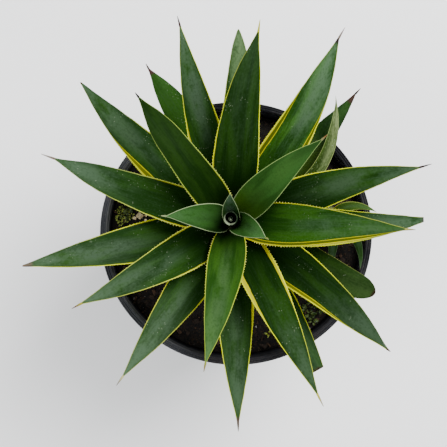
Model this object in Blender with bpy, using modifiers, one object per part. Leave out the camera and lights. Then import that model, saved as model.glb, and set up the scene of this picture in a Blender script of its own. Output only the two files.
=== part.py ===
"""Potted agave: a spiral rosette of stiff pointed leaves in a nursery pot filled with soil.

Metres, +Z up. The origin is the middle of the flat pad under the pot, which stands on z = 0.
"""

import math

import bmesh
import bpy
import numpy as np
from mathutils import Euler, Matrix, Vector

MM = 0.001

# Pot, in millimetres unless a name says otherwise
POT_HEIGHT = 240.0
RIM_RADIUS = 137.5
POT_OVAL = 0.967  # depth over width: a soft nursery pot squeezes a little out of round
WALL = 2.2
FOOT_RADIUS = 104.0
SHOULDER_RADIUS = 127.4  # top of the tapered wall, where pots stack
SHOULDER_Z = 209.0
BAND_RADIUS = 130.6  # foot of the straight band above the shoulder
BAND_Z = 211.5
BAND_TOP_RADIUS = 133.2
LIP_UNDER_Z = 232.6
RIDGE_DEPTH = 1.0
FLOOR_Z = 6.5  # inside of the bottom
PAD_RADIUS = 30.0
FOOT_RING = 14.0  # width of the ring the pot stands on
UNDERSIDE_LIFT = 4.0
DRAIN_RADIUS = 6.5
DRAIN_Z = 15.5
DRAIN_COUNT = 8
ROUND_STEPS = 48

# Soil and the gap left between touching pieces
GAP = 0.35
SOIL_Z = 220.0
SOIL_CROWN = 1.5  # the soil heaps a little round the plant
SOIL_EDGE_DROP = 4.0

# Plant axis, off the middle of the pot
PLANT_X = -3.5
PLANT_Y = 10.0

# Crown: every leaf springs from this cone, the youngest at the top
GOLDEN_ANGLE = 137.5077
FIRST_AZIMUTH = 93.0
CROWN_TOP_Z = 58.0  # above the soil
CROWN_TOP_RADIUS = 5.6
CROWN_DROP = 1.72  # per leaf
CROWN_SPREAD = 1.1  # per leaf
OLDEST_STEP = 31
STEM_GAP = 0.8

# Heart: the rolled bud and the leaf that opens from it lean a little to one side
HEART_FOOT_Z = CROWN_TOP_Z + 0.8
HEART_LEAN = 1.8  # degrees

# Stubs of trimmed leaves, which still clasp the crown
TRIMMED_STEPS = (20, 23, 25, 28, 30)
STUB_LENGTH = 19.0
STUB_WIDTH = 34.0
STUB_SLOPE = 24.0  # degrees

# Leaf blade
BOW = 0.10  # how far a leaf arches above its chord
BOW_AT = 0.38
CLASP = 0.9  # share of the crown's own roundness that a leaf base takes
LEAST_CURL = 0.004  # per millimetre
EDGE = 0.6  # thickness at the margins
YOUNG_THICKNESS = 3.6
THICKNESS_PER_STEP = 0.16
MOST_THICKNESS = 6.5
BROADER_BASE_PER_STEP = 0.013  # older leaves clasp the crown with a broader base
BROADEST_BASE = 0.3
BASE_ENDS_AT = 0.34
BLADE_RINGS = 12
PUP_RINGS = 8
HALF_RING = 5
SPINE_ROOT = 2.2
SPINE_POINT = 0.5

# Width and thickness along the blade, from the base to the tip
WIDTH_PROFILE = (
    (0.0, 0.62), (0.1, 0.80), (0.22, 0.95), (0.34, 1.0), (0.47, 0.95),
    (0.6, 0.82), (0.75, 0.61), (0.87, 0.37), (0.95, 0.17), (1.0, 0.05),
)
THICKNESS_PROFILE = (
    (0.0, 1.0), (0.15, 0.95), (0.4, 0.75), (0.7, 0.5), (0.9, 0.32), (1.0, 0.2),
)

# One line per leaf, from the heart outwards. Steps left out are old leaves trimmed away.
# step on the spiral, turn off the rule (deg), reach, rise over the soil, width,
# sideways bend (deg), spine length, share of the full blade that is left, end
LEAVES = (
    (0, -2, 21, 150, 21.5, 13, 3.0, 1.0, "sharp"),
    (1, 12, 33, 157, 27, 6, 7.5, 1.0, "sharp"),
    (2, 1, 59, 160, 29, -7, 8.5, 1.0, "sharp"),
    (3, 1, 103, 158, 33, 5, 8.5, 1.0, "sharp"),
    (4, -4, 128, 168, 36, 2, 10.5, 1.0, "sharp"),
    (5, 3, 134, 168, 34, 1, 6.0, 1.0, "sharp"),
    (6, 8, 150, 165, 42, -1, 10.0, 1.0, "sharp"),
    (7, -1, 153, 158, 39, 4, 11.5, 1.0, "sharp"),
    (8, 9.5, 167, 152, 44, 6, 12.0, 1.0, "sharp"),
    (9, 0, 173, 142, 38, 1, 13.5, 1.0, "sharp"),
    (10, 3.6, 170, 135, 38, 3, 14.0, 1.0, "sharp"),
    (11, -5, 175, 130, 39, 5, 12.0, 1.0, "sharp"),
    (12, -8, 174, 122, 40, 1, 11.5, 1.0, "sharp"),
    (13, 0, 185, 116, 36, 3, 10.5, 1.0, "sharp"),
    (14, -8, 185, 110, 40, 4, 4.5, 1.0, "sharp"),
    (15, 2, 199, 105, 40, 1, 2.0, 1.0, "sharp"),
    (16, 7, 197, 100, 42, -6, 12.5, 1.0, "sharp"),
    (17, -4, 189, 94, 38, 0, 8.5, 1.0, "sharp"),
    (18, 0, 194, 88, 41, 5, 2.0, 1.0, "sharp"),
    (19, 0, 182, 80, 39, -5, 0.0, 0.97, "cut"),
    (21, 3, 186, 72, 36, -2, 0.0, 0.95, "round"),
    (22, -8, 165, 64, 36, 0, 0.0, 0.88, "cut"),
    (24, 18, 159, 60, 17, -30, 0.0, 1.0, "round"),
    (26, 1, 171, 56, 36, -5, 6.0, 1.0, "sharp"),
    (27, -7, 156, 50, 36, -2, 0.0, 0.80, "round"),
    (29, -19, 175, 46, 34, -4, 8.0, 1.0, "sharp"),
)
WITHERED_STEP = 24
# Leaves that stay broader towards the tip: step and share of the width added there
FULLER = {5: 0.42, 8: 0.15, 10: 0.22, 14: 0.15, 16: 0.12, 24: 0.6, 26: 0.30}
FULLEST_AT = 8 / 9

# Offset: a young plant at the side of the old one
PUP_X = 97.0
PUP_Y = 21.0
PUP_STEM_HEIGHT = 12.0
PUP_STEM_RADIUS = 6.6
# azimuth (deg), reach, rise over the soil, width, sideways bend (deg)
PUP_LEAVES = (
    (-1, 43, 34, 10, 25),
    (-66, 64, 34, 12, 26),
    (-95, 60, 24, 12, 10),
    (150, 30, 30, 10, 0),
)

# Colours
LEAF_GREEN = (0.055, 0.135, 0.045, 1.0)
OLD_LEAF_GREEN = (0.16, 0.20, 0.11, 1.0)
HEART_GREEN = (0.10, 0.20, 0.09, 1.0)
STUB_BROWN = (0.20, 0.15, 0.07, 1.0)
STEM_PALE = (0.42, 0.44, 0.22, 1.0)
POT_BLACK = (0.018, 0.017, 0.021, 1.0)
SOIL_BROWN = (0.050, 0.034, 0.022, 1.0)


def clear_scene():
    for obj in list(bpy.data.objects):
        bpy.data.objects.remove(obj, do_unlink=True)


def new_collection(name):
    collection = bpy.data.collections.new(name)
    bpy.context.scene.collection.children.link(collection)
    return collection


def new_material(name, colour, roughness):
    material = bpy.data.materials.new(name)
    material.use_nodes = True
    shader = material.node_tree.nodes["Principled BSDF"]
    shader.inputs["Base Color"].default_value = colour
    shader.inputs["Roughness"].default_value = roughness
    shader.inputs["Metallic"].default_value = 0.0
    material.diffuse_color = colour
    return material


def new_object(name, mesh, material, collection):
    obj = bpy.data.objects.new(name, mesh)
    if material is not None:
        mesh.materials.append(material)
    collection.objects.link(obj)
    return obj


def follow(profile, at):
    """The smooth curve through a table of points, which never overshoots them."""
    x = np.array([point[0] for point in profile])
    y = np.array([point[1] for point in profile])
    step = np.diff(x)
    slope = np.diff(y) / step
    tangent = np.zeros(len(x))
    tangent[0], tangent[-1] = slope[0], slope[-1]
    for k in range(1, len(x) - 1):
        before, after = slope[k - 1], slope[k]
        if before * after > 0:
            tangent[k] = 2 * before * after / (before + after)
    k = min(max(int(np.searchsorted(x, at)) - 1, 0), len(step) - 1)
    s = (at - x[k]) / step[k]
    return (
        (1 + 2 * s) * (1 - s) ** 2 * y[k]
        + s * (1 - s) ** 2 * step[k] * tangent[k]
        + s * s * (3 - 2 * s) * y[k + 1]
        + s * s * (s - 1) * step[k] * tangent[k + 1]
    )


def revolve(name, profile, steps, material, collection):
    """A profile of (radius, height) turned about Z with a Screw."""
    mesh = bpy.data.meshes.new(name)
    points = [(r * MM, 0.0, z * MM) for r, z in profile]
    mesh.from_pydata(points, [(k, k + 1) for k in range(len(points) - 1)], [])
    obj = new_object(name, mesh, material, collection)
    screw = obj.modifiers.new("turn", "SCREW")
    screw.axis = "Z"
    screw.angle = math.tau
    screw.steps = steps
    screw.render_steps = steps
    screw.use_merge_vertices = True
    screw.merge_threshold = 0.0001
    screw.use_smooth_shade = True
    return obj


def pot_profile():
    """Inside of the bottom, up the inner wall, over the ridged lip and down to the underside."""
    lip_inner = BAND_TOP_RADIUS - WALL
    ridge = (RIM_RADIUS - lip_inner) / 6
    valley_z = POT_HEIGHT - RIDGE_DEPTH
    lip = [(lip_inner, LIP_UNDER_Z + 1.0), (lip_inner, valley_z - 0.5)]
    for k in range(1, 6):
        lip.append((lip_inner + k * ridge, POT_HEIGHT if k % 2 else valley_z))
    return [
        (0.0, FLOOR_Z),
        (FOOT_RADIUS - 6.0, FLOOR_Z),
        (FOOT_RADIUS - WALL + 0.1, FLOOR_Z + 2.5),
        (SHOULDER_RADIUS - WALL, SHOULDER_Z + 0.5),
        (BAND_RADIUS - WALL, BAND_Z + 0.5),
        *lip,
        (RIM_RADIUS, POT_HEIGHT - 2.0),
        (RIM_RADIUS, LIP_UNDER_Z + 0.9),
        (RIM_RADIUS - 1.3, LIP_UNDER_Z),
        (BAND_TOP_RADIUS, LIP_UNDER_Z),
        (BAND_RADIUS, BAND_Z),
        (SHOULDER_RADIUS, SHOULDER_Z),
        (FOOT_RADIUS, 4.0),
        (FOOT_RADIUS - 2.0, 0.0),
        (FOOT_RADIUS - FOOT_RING, 0.0),
        (FOOT_RADIUS - FOOT_RING - 3.0, UNDERSIDE_LIFT),
        (PAD_RADIUS + 3.0, UNDERSIDE_LIFT),
        (PAD_RADIUS, 0.0),
        (0.0, 0.0),
    ]


def drain_cutter(collection):
    """Round bars that point outwards through the foot of the wall."""
    shape = bmesh.new()
    for k in range(DRAIN_COUNT):
        turn = math.tau * (k + 0.5) / DRAIN_COUNT
        made = bmesh.ops.create_cone(
            shape, cap_ends=True, segments=12, radius1=DRAIN_RADIUS * MM,
            radius2=DRAIN_RADIUS * MM, depth=24 * MM,
        )
        verts = made["verts"]
        bmesh.ops.rotate(shape, verts=verts, matrix=Matrix.Rotation(math.pi / 2, 3, "Y"))
        bmesh.ops.translate(shape, verts=verts, vec=(FOOT_RADIUS * MM, 0.0, DRAIN_Z * MM))
        bmesh.ops.rotate(shape, verts=verts, matrix=Matrix.Rotation(turn, 3, "Z"))
    mesh = bpy.data.meshes.new("drain_cutter")
    shape.to_mesh(mesh)
    shape.free()
    cutter = new_object("drain_cutter", mesh, None, collection)
    cutter.hide_render = True
    cutter.display_type = "WIRE"
    return cutter


def make_pot(collection, cutters):
    material = new_material("pot_plastic", POT_BLACK, 0.42)
    pot = revolve("pot", pot_profile(), ROUND_STEPS, material, collection)
    cutter = drain_cutter(cutters)
    pot.scale = (1.0, POT_OVAL, 1.0)
    cutter.scale = (1.0, POT_OVAL, 1.0)
    drains = pot.modifiers.new("drains", "BOOLEAN")
    drains.operation = "DIFFERENCE"
    drains.solver = "EXACT"
    drains.object = cutter


def make_soil(collection):
    material = new_material("potting_mix", SOIL_BROWN, 0.95)
    heap, edge = SOIL_Z + SOIL_CROWN, SOIL_Z - SOIL_EDGE_DROP
    profile = [
        (0.0, SOIL_Z),
        (52.0, SOIL_Z),
        (66.0, heap),
        (90.0, SOIL_Z - 0.5),
        (111.0, SOIL_Z - 0.5),
        (BAND_RADIUS - WALL - GAP - 1.2, edge),
        (BAND_RADIUS - WALL - GAP, edge - 1.2),
        (BAND_RADIUS - WALL - GAP, BAND_Z + 0.9),
        (SHOULDER_RADIUS - WALL - GAP, SHOULDER_Z + 0.8),
        (FOOT_RADIUS - WALL + 0.1 - GAP, FLOOR_Z + 2.8),
        (FOOT_RADIUS - 6.1, FLOOR_Z + GAP),
        (0.0, FLOOR_Z + GAP),
    ]
    soil = revolve("soil", profile, ROUND_STEPS, material, collection)
    soil.scale = (1.0, POT_OVAL, 1.0)


def crown_at(step):
    """Where on the crown a leaf springs: (radius, height over the soil)."""
    return np.array([
        CROWN_TOP_RADIUS + CROWN_SPREAD * step,
        CROWN_TOP_Z - CROWN_DROP * step,
    ])


def move_to(obj, x, y):
    obj.location = (x * MM, y * MM, SOIL_Z * MM)


def lean_heart(obj):
    """Leans a piece about the foot of the heart."""
    foot = Vector((0.0, 0.0, HEART_FOOT_Z * MM))
    tilt = Euler((0.0, -math.radians(HEART_LEAN), 0.0))
    obj.rotation_euler = tilt
    obj.location += foot - tilt.to_matrix() @ foot


def make_stem(collection):
    material = new_material("crown_flesh", STEM_PALE, 0.6)
    top, low = crown_at(0), crown_at(OLDEST_STEP)
    profile = [
        (0.0, top[1] + 0.3),
        (top[0] - STEM_GAP - 0.7, top[1] + 0.3),
        (top[0] - STEM_GAP, top[1] - 0.6),
        (low[0] - STEM_GAP, low[1]),
        (low[0] - STEM_GAP - 0.5, 3.0),
        (low[0] - STEM_GAP - 3.0, GAP),
        (0.0, GAP),
    ]
    move_to(revolve("crown_stem", profile, 32, material, collection), PLANT_X, PLANT_Y)


def make_bud(collection):
    material = new_material("heart_green", HEART_GREEN, 0.5)
    foot = HEART_FOOT_Z
    profile = [
        (0.0, 148.0), (1.4, 147.0), (4.2, 142.8), (6.2, 136.0), (6.6, 127.0), (6.0, 112.0),
        (5.1, 96.0), (4.5, 80.0), (4.2, foot + 0.8), (3.6, foot), (0.0, foot),
    ]
    bud = revolve("heart_bud", profile, 16, material, collection)
    move_to(bud, PLANT_X, PLANT_Y)
    lean_heart(bud)


def blade_line(base, tip, count):
    """The middle of a blade seen from the side, arching from base to tip, and its direction."""
    chord = tip - base
    across = np.array([-chord[1], chord[0]])
    control = base + BOW_AT * chord + BOW * across
    t = (np.linspace(0.0, 1.0, count) ** 0.9)[:, None]
    line = (1 - t) ** 2 * base + 2 * t * (1 - t) * control + t * t * tip
    heading = 2 * (1 - t) * (control - base) + 2 * t * (tip - control)
    return line, heading / np.linalg.norm(heading, axis=1)[:, None], t[:, 0]


def section(width, thickness, curl):
    """A crescent: hollow face up, thick in the middle and thin at both margins."""
    radius = 1.0 / curl
    edge = min(EDGE, thickness)
    places = np.linspace(-1.0, 1.0, HALF_RING)
    ring = []
    for place in places:
        angle = place * width / 2 / radius
        reach = radius - edge / 2
        ring.append((reach * math.sin(angle), radius - reach * math.cos(angle)))
    for place in places[::-1]:
        angle = place * width / 2 / radius
        reach = radius + edge / 2 + (thickness - edge) * (1 - abs(place) ** 2.2)
        ring.append((reach * math.sin(angle), radius - reach * math.cos(angle)))
    return ring


def turned(rings, azimuth):
    """The rings with their outward direction turned to an azimuth in degrees."""
    c, s = math.cos(math.radians(azimuth)), math.sin(math.radians(azimuth))
    out, side = rings[..., 0], rings[..., 1]
    return np.stack([out * c - side * s, out * s + side * c, rings[..., 2]], axis=-1)


def blade_width(t, step):
    """Share of the full width at t along the blade of the leaf at this step of the spiral."""
    broader = min(BROADER_BASE_PER_STEP * step, BROADEST_BASE)
    base = broader * max(0.0, 1 - t / BASE_ENDS_AT) ** 2
    outer = (t / FULLEST_AT) ** 8 * (1 - t) / (1 - FULLEST_AT)
    return (follow(WIDTH_PROFILE, t) + base) * (1 + FULLER.get(step, 0.0) * outer)


def blade_rings(base, tip, step, width, thickness, bend, spine, left, end, count):
    """Rings of (outward, sideways, up) points from the base to the tip of one leaf."""
    line, heading, along = blade_line(base, tip, count)
    rings = []
    for (r, z), (out, up), t in zip(line, heading, along):
        wide = width * blade_width(t * left, step)
        thick = thickness * follow(THICKNESS_PROFILE, t * left)
        if end == "round":
            wide *= math.sqrt(1 - 0.8 * max(0.0, (t - 0.9) / 0.1) ** 2)
        curl = min(max(CLASP * up / max(r, 4.0), LEAST_CURL), 2.7 / wide)
        ring = [
            (r - up * rise, across, z + out * rise)
            for across, rise in section(wide, thick, curl)
        ]
        rings.append(turned(np.array(ring), -bend * t * t))
    if spine > 0:
        out, up = heading[-1]
        for share, size in ((0.25, SPINE_ROOT), (1.0, SPINE_POINT)):
            r, z = line[-1] + heading[-1] * spine * share
            ring = [
                (r - up * rise, across, z + out * rise)
                for across, rise in section(size, size, 0.2)
            ]
            rings.append(turned(np.array(ring), -bend))
    return np.array(rings)


def loft(name, rings, material, collection):
    """A closed skin over rings of equally many points, with a flat end at each side."""
    count = rings.shape[1]
    faces = []
    for k in range(len(rings) - 1):
        for j in range(count):
            a, b = k * count + j, k * count + (j + 1) % count
            faces.append((a, a + count, b + count, b))
    last = (len(rings) - 1) * count
    half = count // 2
    for j in range(half - 1):
        low, high = j, count - 1 - j
        faces.append((low, low + 1, high - 1, high))
        faces.append((last + high, last + high - 1, last + low + 1, last + low))
    mesh = bpy.data.meshes.new(name)
    mesh.from_pydata((rings.reshape(-1, 3) * MM).tolist(), [], faces)
    mesh.shade_smooth()
    mesh.set_sharp_from_angle(angle=math.radians(60))
    return new_object(name, mesh, material, collection)


def leaf_thickness(step):
    return min(YOUNG_THICKNESS + THICKNESS_PER_STEP * step, MOST_THICKNESS)


def make_stubs(collection):
    slope = math.radians(STUB_SLOPE)
    for number, step in enumerate(TRIMMED_STEPS, start=1):
        name = f"trimmed_leaf_{number}"
        material = new_material(f"{name}_skin", STUB_BROWN, 0.7)
        base = crown_at(step)
        tip = base + STUB_LENGTH * np.array([math.cos(slope), math.sin(slope)])
        rings = blade_rings(
            base, tip, step, STUB_WIDTH, leaf_thickness(step), 0, 0.0, 0.12, "cut", 4
        )
        azimuth = FIRST_AZIMUTH - GOLDEN_ANGLE * step
        move_to(loft(name, turned(rings, azimuth), material, collection), PLANT_X, PLANT_Y)


def make_leaves(collection):
    for number, leaf in enumerate(LEAVES, start=1):
        step, turn, reach, rise, width, bend, spine, left, end = leaf
        name = f"leaf_{number:02d}"
        green = OLD_LEAF_GREEN if step == WITHERED_STEP else LEAF_GREEN
        material = new_material(f"{name}_skin", green, 0.45)
        thickness = leaf_thickness(step)
        rings = blade_rings(
            crown_at(step), np.array([reach, rise]), step, width, thickness, bend,
            spine, left, end, BLADE_RINGS,
        )
        azimuth = FIRST_AZIMUTH - GOLDEN_ANGLE * step + turn + bend
        blade = loft(name, turned(rings, azimuth), material, collection)
        move_to(blade, PLANT_X, PLANT_Y)
        if step == 0:
            lean_heart(blade)


def make_pup(collection):
    stem_material = new_material("pup_stem_flesh", STEM_PALE, 0.6)
    soil_top = GAP - 0.5
    profile = [
        (0.0, PUP_STEM_HEIGHT), (2.6, PUP_STEM_HEIGHT), (PUP_STEM_RADIUS, 4.0),
        (PUP_STEM_RADIUS - 0.5, soil_top), (0.0, soil_top),
    ]
    move_to(revolve("pup_stem", profile, 12, stem_material, collection), PUP_X, PUP_Y)
    for number, leaf in enumerate(PUP_LEAVES, start=1):
        azimuth, reach, rise, width, bend = leaf
        name = f"pup_leaf_{number}"
        material = new_material(f"{name}_skin", LEAF_GREEN, 0.45)
        base = np.array([3.2 + 0.9 * number, 12.5 - 1.9 * number])
        tip = np.array([reach, rise])
        rings = blade_rings(base, tip, 0, width, 2.2, bend, 0.0, 1.0, "round", PUP_RINGS)
        placed = turned(rings, azimuth + bend)
        move_to(loft(name, placed, material, collection), PUP_X, PUP_Y)


def main():
    clear_scene()
    agave = new_collection("potted_agave")
    cutters = new_collection("cutters")
    make_pot(agave, cutters)
    make_soil(agave)
    make_stem(agave)
    make_stubs(agave)
    make_bud(agave)
    make_leaves(agave)
    make_pup(agave)


main()
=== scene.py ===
# %% [markdown]
# # A potted agave, dressed round its solid model
# A rosette of stiff leaves grows in a spiral out of a black nursery pot of bark mix.
# The solid model says where every piece stands. This lesson gives each piece its skin.
# Most of the plant follows one rule, so Geometry Nodes grow it from a short table of leaves.

# %% Load the solid model
import math

import bmesh
import bpy
import numpy as np
from mathutils import Matrix, Vector, noise


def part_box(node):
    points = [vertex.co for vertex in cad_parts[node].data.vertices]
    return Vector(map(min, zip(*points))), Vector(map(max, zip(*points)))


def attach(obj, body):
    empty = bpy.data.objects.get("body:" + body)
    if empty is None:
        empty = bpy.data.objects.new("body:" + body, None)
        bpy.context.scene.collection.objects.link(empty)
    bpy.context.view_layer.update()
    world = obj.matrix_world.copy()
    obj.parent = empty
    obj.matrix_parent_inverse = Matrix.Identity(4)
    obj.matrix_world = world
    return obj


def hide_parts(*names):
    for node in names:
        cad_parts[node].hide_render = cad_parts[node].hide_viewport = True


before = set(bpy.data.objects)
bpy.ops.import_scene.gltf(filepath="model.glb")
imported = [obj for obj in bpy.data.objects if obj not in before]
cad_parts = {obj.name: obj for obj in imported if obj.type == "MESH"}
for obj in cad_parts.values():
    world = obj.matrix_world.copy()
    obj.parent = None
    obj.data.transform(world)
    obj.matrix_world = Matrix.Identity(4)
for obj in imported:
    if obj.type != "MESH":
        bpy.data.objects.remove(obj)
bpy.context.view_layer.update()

MM = 0.001
scene = bpy.context.scene


# %% [markdown]
# ## Sizes
# The crown of the plant is a cone in the middle of the rosette. Its box gives the axis
# that the leaves turn about, and the height of the soil under it. The rest of these sizes
# are the ones that the solid model was made with, so each skin lands on its own solid.
# The heart, with the first leaf to open from it, leans a little to one side.

# %% Sizes that the solid model was made with
GAP = 0.35 * MM
crown_low, crown_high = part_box("crown_stem")
PLANT_FOOT = Vector((
    (crown_low.x + crown_high.x) / 2, (crown_low.y + crown_high.y) / 2, crown_low.z - GAP,
))
SOIL_Z = PLANT_FOOT.z
GOLDEN_ANGLE, FIRST_AZIMUTH = 137.5077, 93.0
CROWN_TOP_RADIUS, CROWN_TOP_Z, CROWN_SPREAD, CROWN_DROP = 5.6, 58.0, 1.1, 1.72
HEART_FOOT_Z, HEART_LEAN = 58.8, math.radians(1.8)
BOW, BOW_AT, CLASP, LEAST_CURL, EDGE = 0.10, 0.38, 0.9, 0.004, 0.6
BROADER_BASE_PER_STEP, BROADEST_BASE, BASE_ENDS_AT = 0.013, 0.3, 0.34
WIDTH_PROFILE = (
    (0.0, 0.62), (0.1, 0.80), (0.22, 0.95), (0.34, 1.0), (0.47, 0.95),
    (0.6, 0.82), (0.75, 0.61), (0.87, 0.37), (0.95, 0.17), (1.0, 0.05),
)
THICKNESS_PROFILE = (
    (0.0, 1.0), (0.15, 0.95), (0.4, 0.75), (0.7, 0.5), (0.9, 0.32), (1.0, 0.2),
)
# step on the spiral, turn off the rule (deg), reach, rise, width (mm), bend (deg), spine (mm)
LEAVES = (
    (0, -2, 21, 150, 21.5, 13, 3.0),
    (1, 12, 33, 157, 27, 6, 7.5),
    (2, 1, 59, 160, 29, -7, 8.5),
    (3, 1, 103, 158, 33, 5, 8.5),
    (4, -4, 128, 168, 36, 2, 10.5),
    (5, 3, 134, 168, 34, 1, 6.0),
    (6, 8, 150, 165, 42, -1, 10.0),
    (7, -1, 153, 158, 39, 4, 11.5),
    (8, 9.5, 167, 152, 44, 6, 12.0),
    (9, 0, 173, 142, 38, 1, 13.5),
    (10, 3.6, 170, 135, 38, 3, 14.0),
    (11, -5, 175, 130, 39, 5, 12.0),
    (12, -8, 174, 122, 40, 1, 11.5),
    (13, 0, 185, 116, 36, 3, 10.5),
    (14, -8, 185, 110, 40, 4, 4.5),
    (15, 2, 199, 105, 40, 1, 2.0),
    (16, 7, 197, 100, 42, -6, 12.5),
    (17, -4, 189, 94, 38, 0, 8.5),
    (18, 0, 194, 88, 41, 5, 2.0),
    (19, 0, 182, 80, 39, -5, 0.0),
    (21, 3, 186, 72, 36, -2, 0.0),
    (22, -8, 165, 64, 36, 0, 0.0),
    (24, 18, 159, 60, 17, -30, 0.0),
    (26, 1, 171, 56, 36, -5, 6.0),
    (27, -7, 156, 50, 36, -2, 0.0),
    (29, -19, 175, 46, 34, -4, 8.0),
)
# Leaves that end short or blunt, by step: share of the full blade that is left, and its end
ENDS = {19: (0.97, "cut"), 21: (0.95, "round"), 22: (0.88, "cut"), 24: (1.0, "round"),
        27: (0.80, "round")}
# Leaves that stay broader towards the tip, by step: share of the width added there
FULLER = {5: 0.42, 8: 0.15, 10: 0.22, 14: 0.15, 16: 0.12, 24: 0.6, 26: 0.30}
FULLEST_AT = 8 / 9
print("plant axis at", tuple(round(v, 4) for v in PLANT_FOOT), "with", len(LEAVES), "leaves")

# %% [markdown]
# ## Camera
# The plant is seen from straight above, leaning back by two degrees, so the pot's rim
# is a ring behind the star of leaves. A long lens keeps the outer leaves from splaying.

# %% Camera over the pot
CAMERA_TARGET = Vector((-0.0126, 0.0095, 0.240))
CAMERA_RISE = math.radians(88.0)
CAMERA_DISTANCE, LENS, SENSOR = 1.1, 87.8, 36.0


def put_in_scene(name, data):
    """A new object that shows the data."""
    obj = bpy.data.objects.new(name, data)
    scene.collection.objects.link(obj)
    return obj


camera_data = bpy.data.cameras.new("camera")
camera_data.lens, camera_data.sensor_width = LENS, SENSOR
camera = put_in_scene("camera", camera_data)
camera.location = CAMERA_TARGET + CAMERA_DISTANCE * Vector(
    (0.0, -math.cos(CAMERA_RISE), math.sin(CAMERA_RISE))
)
camera.rotation_euler = (math.pi / 2 - CAMERA_RISE, 0.0, 0.0)
scene.camera = camera
print("camera", round(camera.location.z, 3), "m up")

# %% [markdown]
# ## Light
# A big soft window stands over the right shoulder of the plant, and a weaker one fills
# from the far side. The pale room does the rest, so shadows stay soft on the pale floor.

# %% Studio light
def soft_window(name, place, size, power):
    """A square area light that looks at the plant."""
    data = bpy.data.lights.new(name, "AREA")
    data.size, data.energy = size, power
    light = put_in_scene(name, data)
    light.location = place
    light.rotation_euler = (PLANT_FOOT - Vector(place)).to_track_quat("-Z", "Y").to_euler()


soft_window("key_window", place=(0.87, 0.78, 1.80), size=1.1, power=84.0)
soft_window("fill_window", place=(-1.3, -0.6, 1.5), size=1.4, power=16.0)
ROOM_TINT, ROOM_STRENGTH = (0.96, 0.98, 1.0, 1.0), 1.1
world = bpy.data.worlds.new("pale_room")
scene.world = world
world.use_nodes = True
room = world.node_tree.nodes["Background"].inputs
room["Color"].default_value = ROOM_TINT
room["Strength"].default_value = ROOM_STRENGTH
print("two windows and a room of strength", ROOM_STRENGTH)

# %% [markdown]
# ## Formulas as node trees
# Geometry and material trees do their sums with maths nodes. Placing those by hand hides
# the formula, so a small class lets a socket be added and multiplied like a number.
# Each sum then makes the node that does it, and the script reads like the rule it follows.

# %% Sockets that add and multiply
class Wire:
    """An output socket that can stand in a sum."""

    def __init__(self, socket):
        self.socket = socket

    def also(self, name):
        """Another output of the same node."""
        return Wire(self.socket.node.outputs[name])


def sign_for(operation, turned=False):
    """What Python calls for a sign between two wires, or between a wire and a number."""
    def node_for(self, other):
        return maths(operation, *((other, self) if turned else (self, other)))
    return node_for


Wire.__add__, Wire.__radd__ = sign_for("ADD"), sign_for("ADD", turned=True)
Wire.__sub__, Wire.__rsub__ = sign_for("SUBTRACT"), sign_for("SUBTRACT", turned=True)
Wire.__mul__, Wire.__rmul__ = sign_for("MULTIPLY"), sign_for("MULTIPLY")
Wire.__truediv__, Wire.__rtruediv__ = sign_for("DIVIDE"), sign_for("DIVIDE", turned=True)
Wire.__pow__ = sign_for("POWER")


def plug(value, socket):
    if isinstance(value, Wire):
        socket.id_data.links.new(value.socket, socket)
    else:
        socket.default_value = value


def add(tree, kind, inputs=(), **settings):
    """A new node, set up and with its inputs filled, as the wire from its first output."""
    node = tree.nodes.new(kind)
    for name, value in settings.items():
        setattr(node, name, value)
    for name, value in dict(inputs).items():
        if isinstance(name, int):
            plug(value, node.inputs[name])
        else:
            plug(value, next(s for s in node.inputs if s.name == name and s.enabled))
    return Wire(next(s for s in node.outputs if s.enabled))


def is_vector(value):
    return isinstance(value, tuple) or (
        isinstance(value, Wire) and value.socket.type in ("VECTOR", "RGBA")
    )


def maths(operation, *values):
    """A maths node, or a vector maths node where a vector takes part."""
    tree = next(v.socket.id_data for v in values if isinstance(v, Wire))
    if not any(is_vector(v) for v in values):
        return add(tree, "ShaderNodeMath", dict(enumerate(values)), operation=operation)
    if operation == "MULTIPLY" and not is_vector(values[1]):
        node = add(tree, "ShaderNodeVectorMath", {0: values[0]}, operation="SCALE")
        plug(values[1], node.socket.node.inputs["Scale"])
        return node
    return add(tree, "ShaderNodeVectorMath", dict(enumerate(values)), operation=operation)


print("sockets now take + - * / and ** as numbers do")

# %% [markdown]
# Some steps have no sign of their own: a soft step between two values, a vector put
# together or taken apart, random grain, and a curve drawn through a table. Each of them
# is a single node, so each gets a short helper with a plain name.


# %% Soft steps, vectors, grain and curves
def least(a, b):
    return maths("MINIMUM", a, b)


def most(a, b):
    return maths("MAXIMUM", a, b)


def size_of(a):
    return maths("ABSOLUTE", a)


def between(a, b, share):
    """From a at 0 to b at 1."""
    return a + (b - a) * share


def ramp(value, low, high, start=0.0, end=1.0):
    """A soft step from start to end as the value goes from low to high."""
    names = ("Value", "From Min", "From Max", "To Min", "To Max")
    tree = value.socket.id_data
    return add(
        tree, "ShaderNodeMapRange", dict(zip(names, (value, low, high, start, end))),
        interpolation_type="SMOOTHSTEP",
    )


def vector(tree, x, y, z):
    return add(tree, "ShaderNodeCombineXYZ", {"X": x, "Y": y, "Z": z})


def parts(value):
    """The X, Y and Z of a vector."""
    x = add(value.socket.id_data, "ShaderNodeSeparateXYZ", {0: value})
    return x, x.also("Y"), x.also("Z")


def grain(place, scale, detail=2.0, roughness=0.5):
    """Smooth random values from 0 to 1 that vary with place."""
    inputs = {"Vector": place, "Scale": scale, "Detail": detail, "Roughness": roughness}
    return add(place.socket.id_data, "ShaderNodeTexNoise", inputs)


def curve_through(value, points):
    """The smooth curve through a short table of points."""
    wire = add(value.socket.id_data, "ShaderNodeFloatCurve", {"Value": value})
    mapping = wire.socket.node.mapping
    drawn = mapping.curves[0].points
    for point, (x, y) in zip((drawn[0], drawn[1]), (points[0], points[-1])):
        point.location = (x, y)
    for x, y in points[1:-1]:
        drawn.new(x, y)
    for point in drawn:
        point.handle_type = "AUTO_CLAMPED"
    mapping.update()
    return wire


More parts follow.
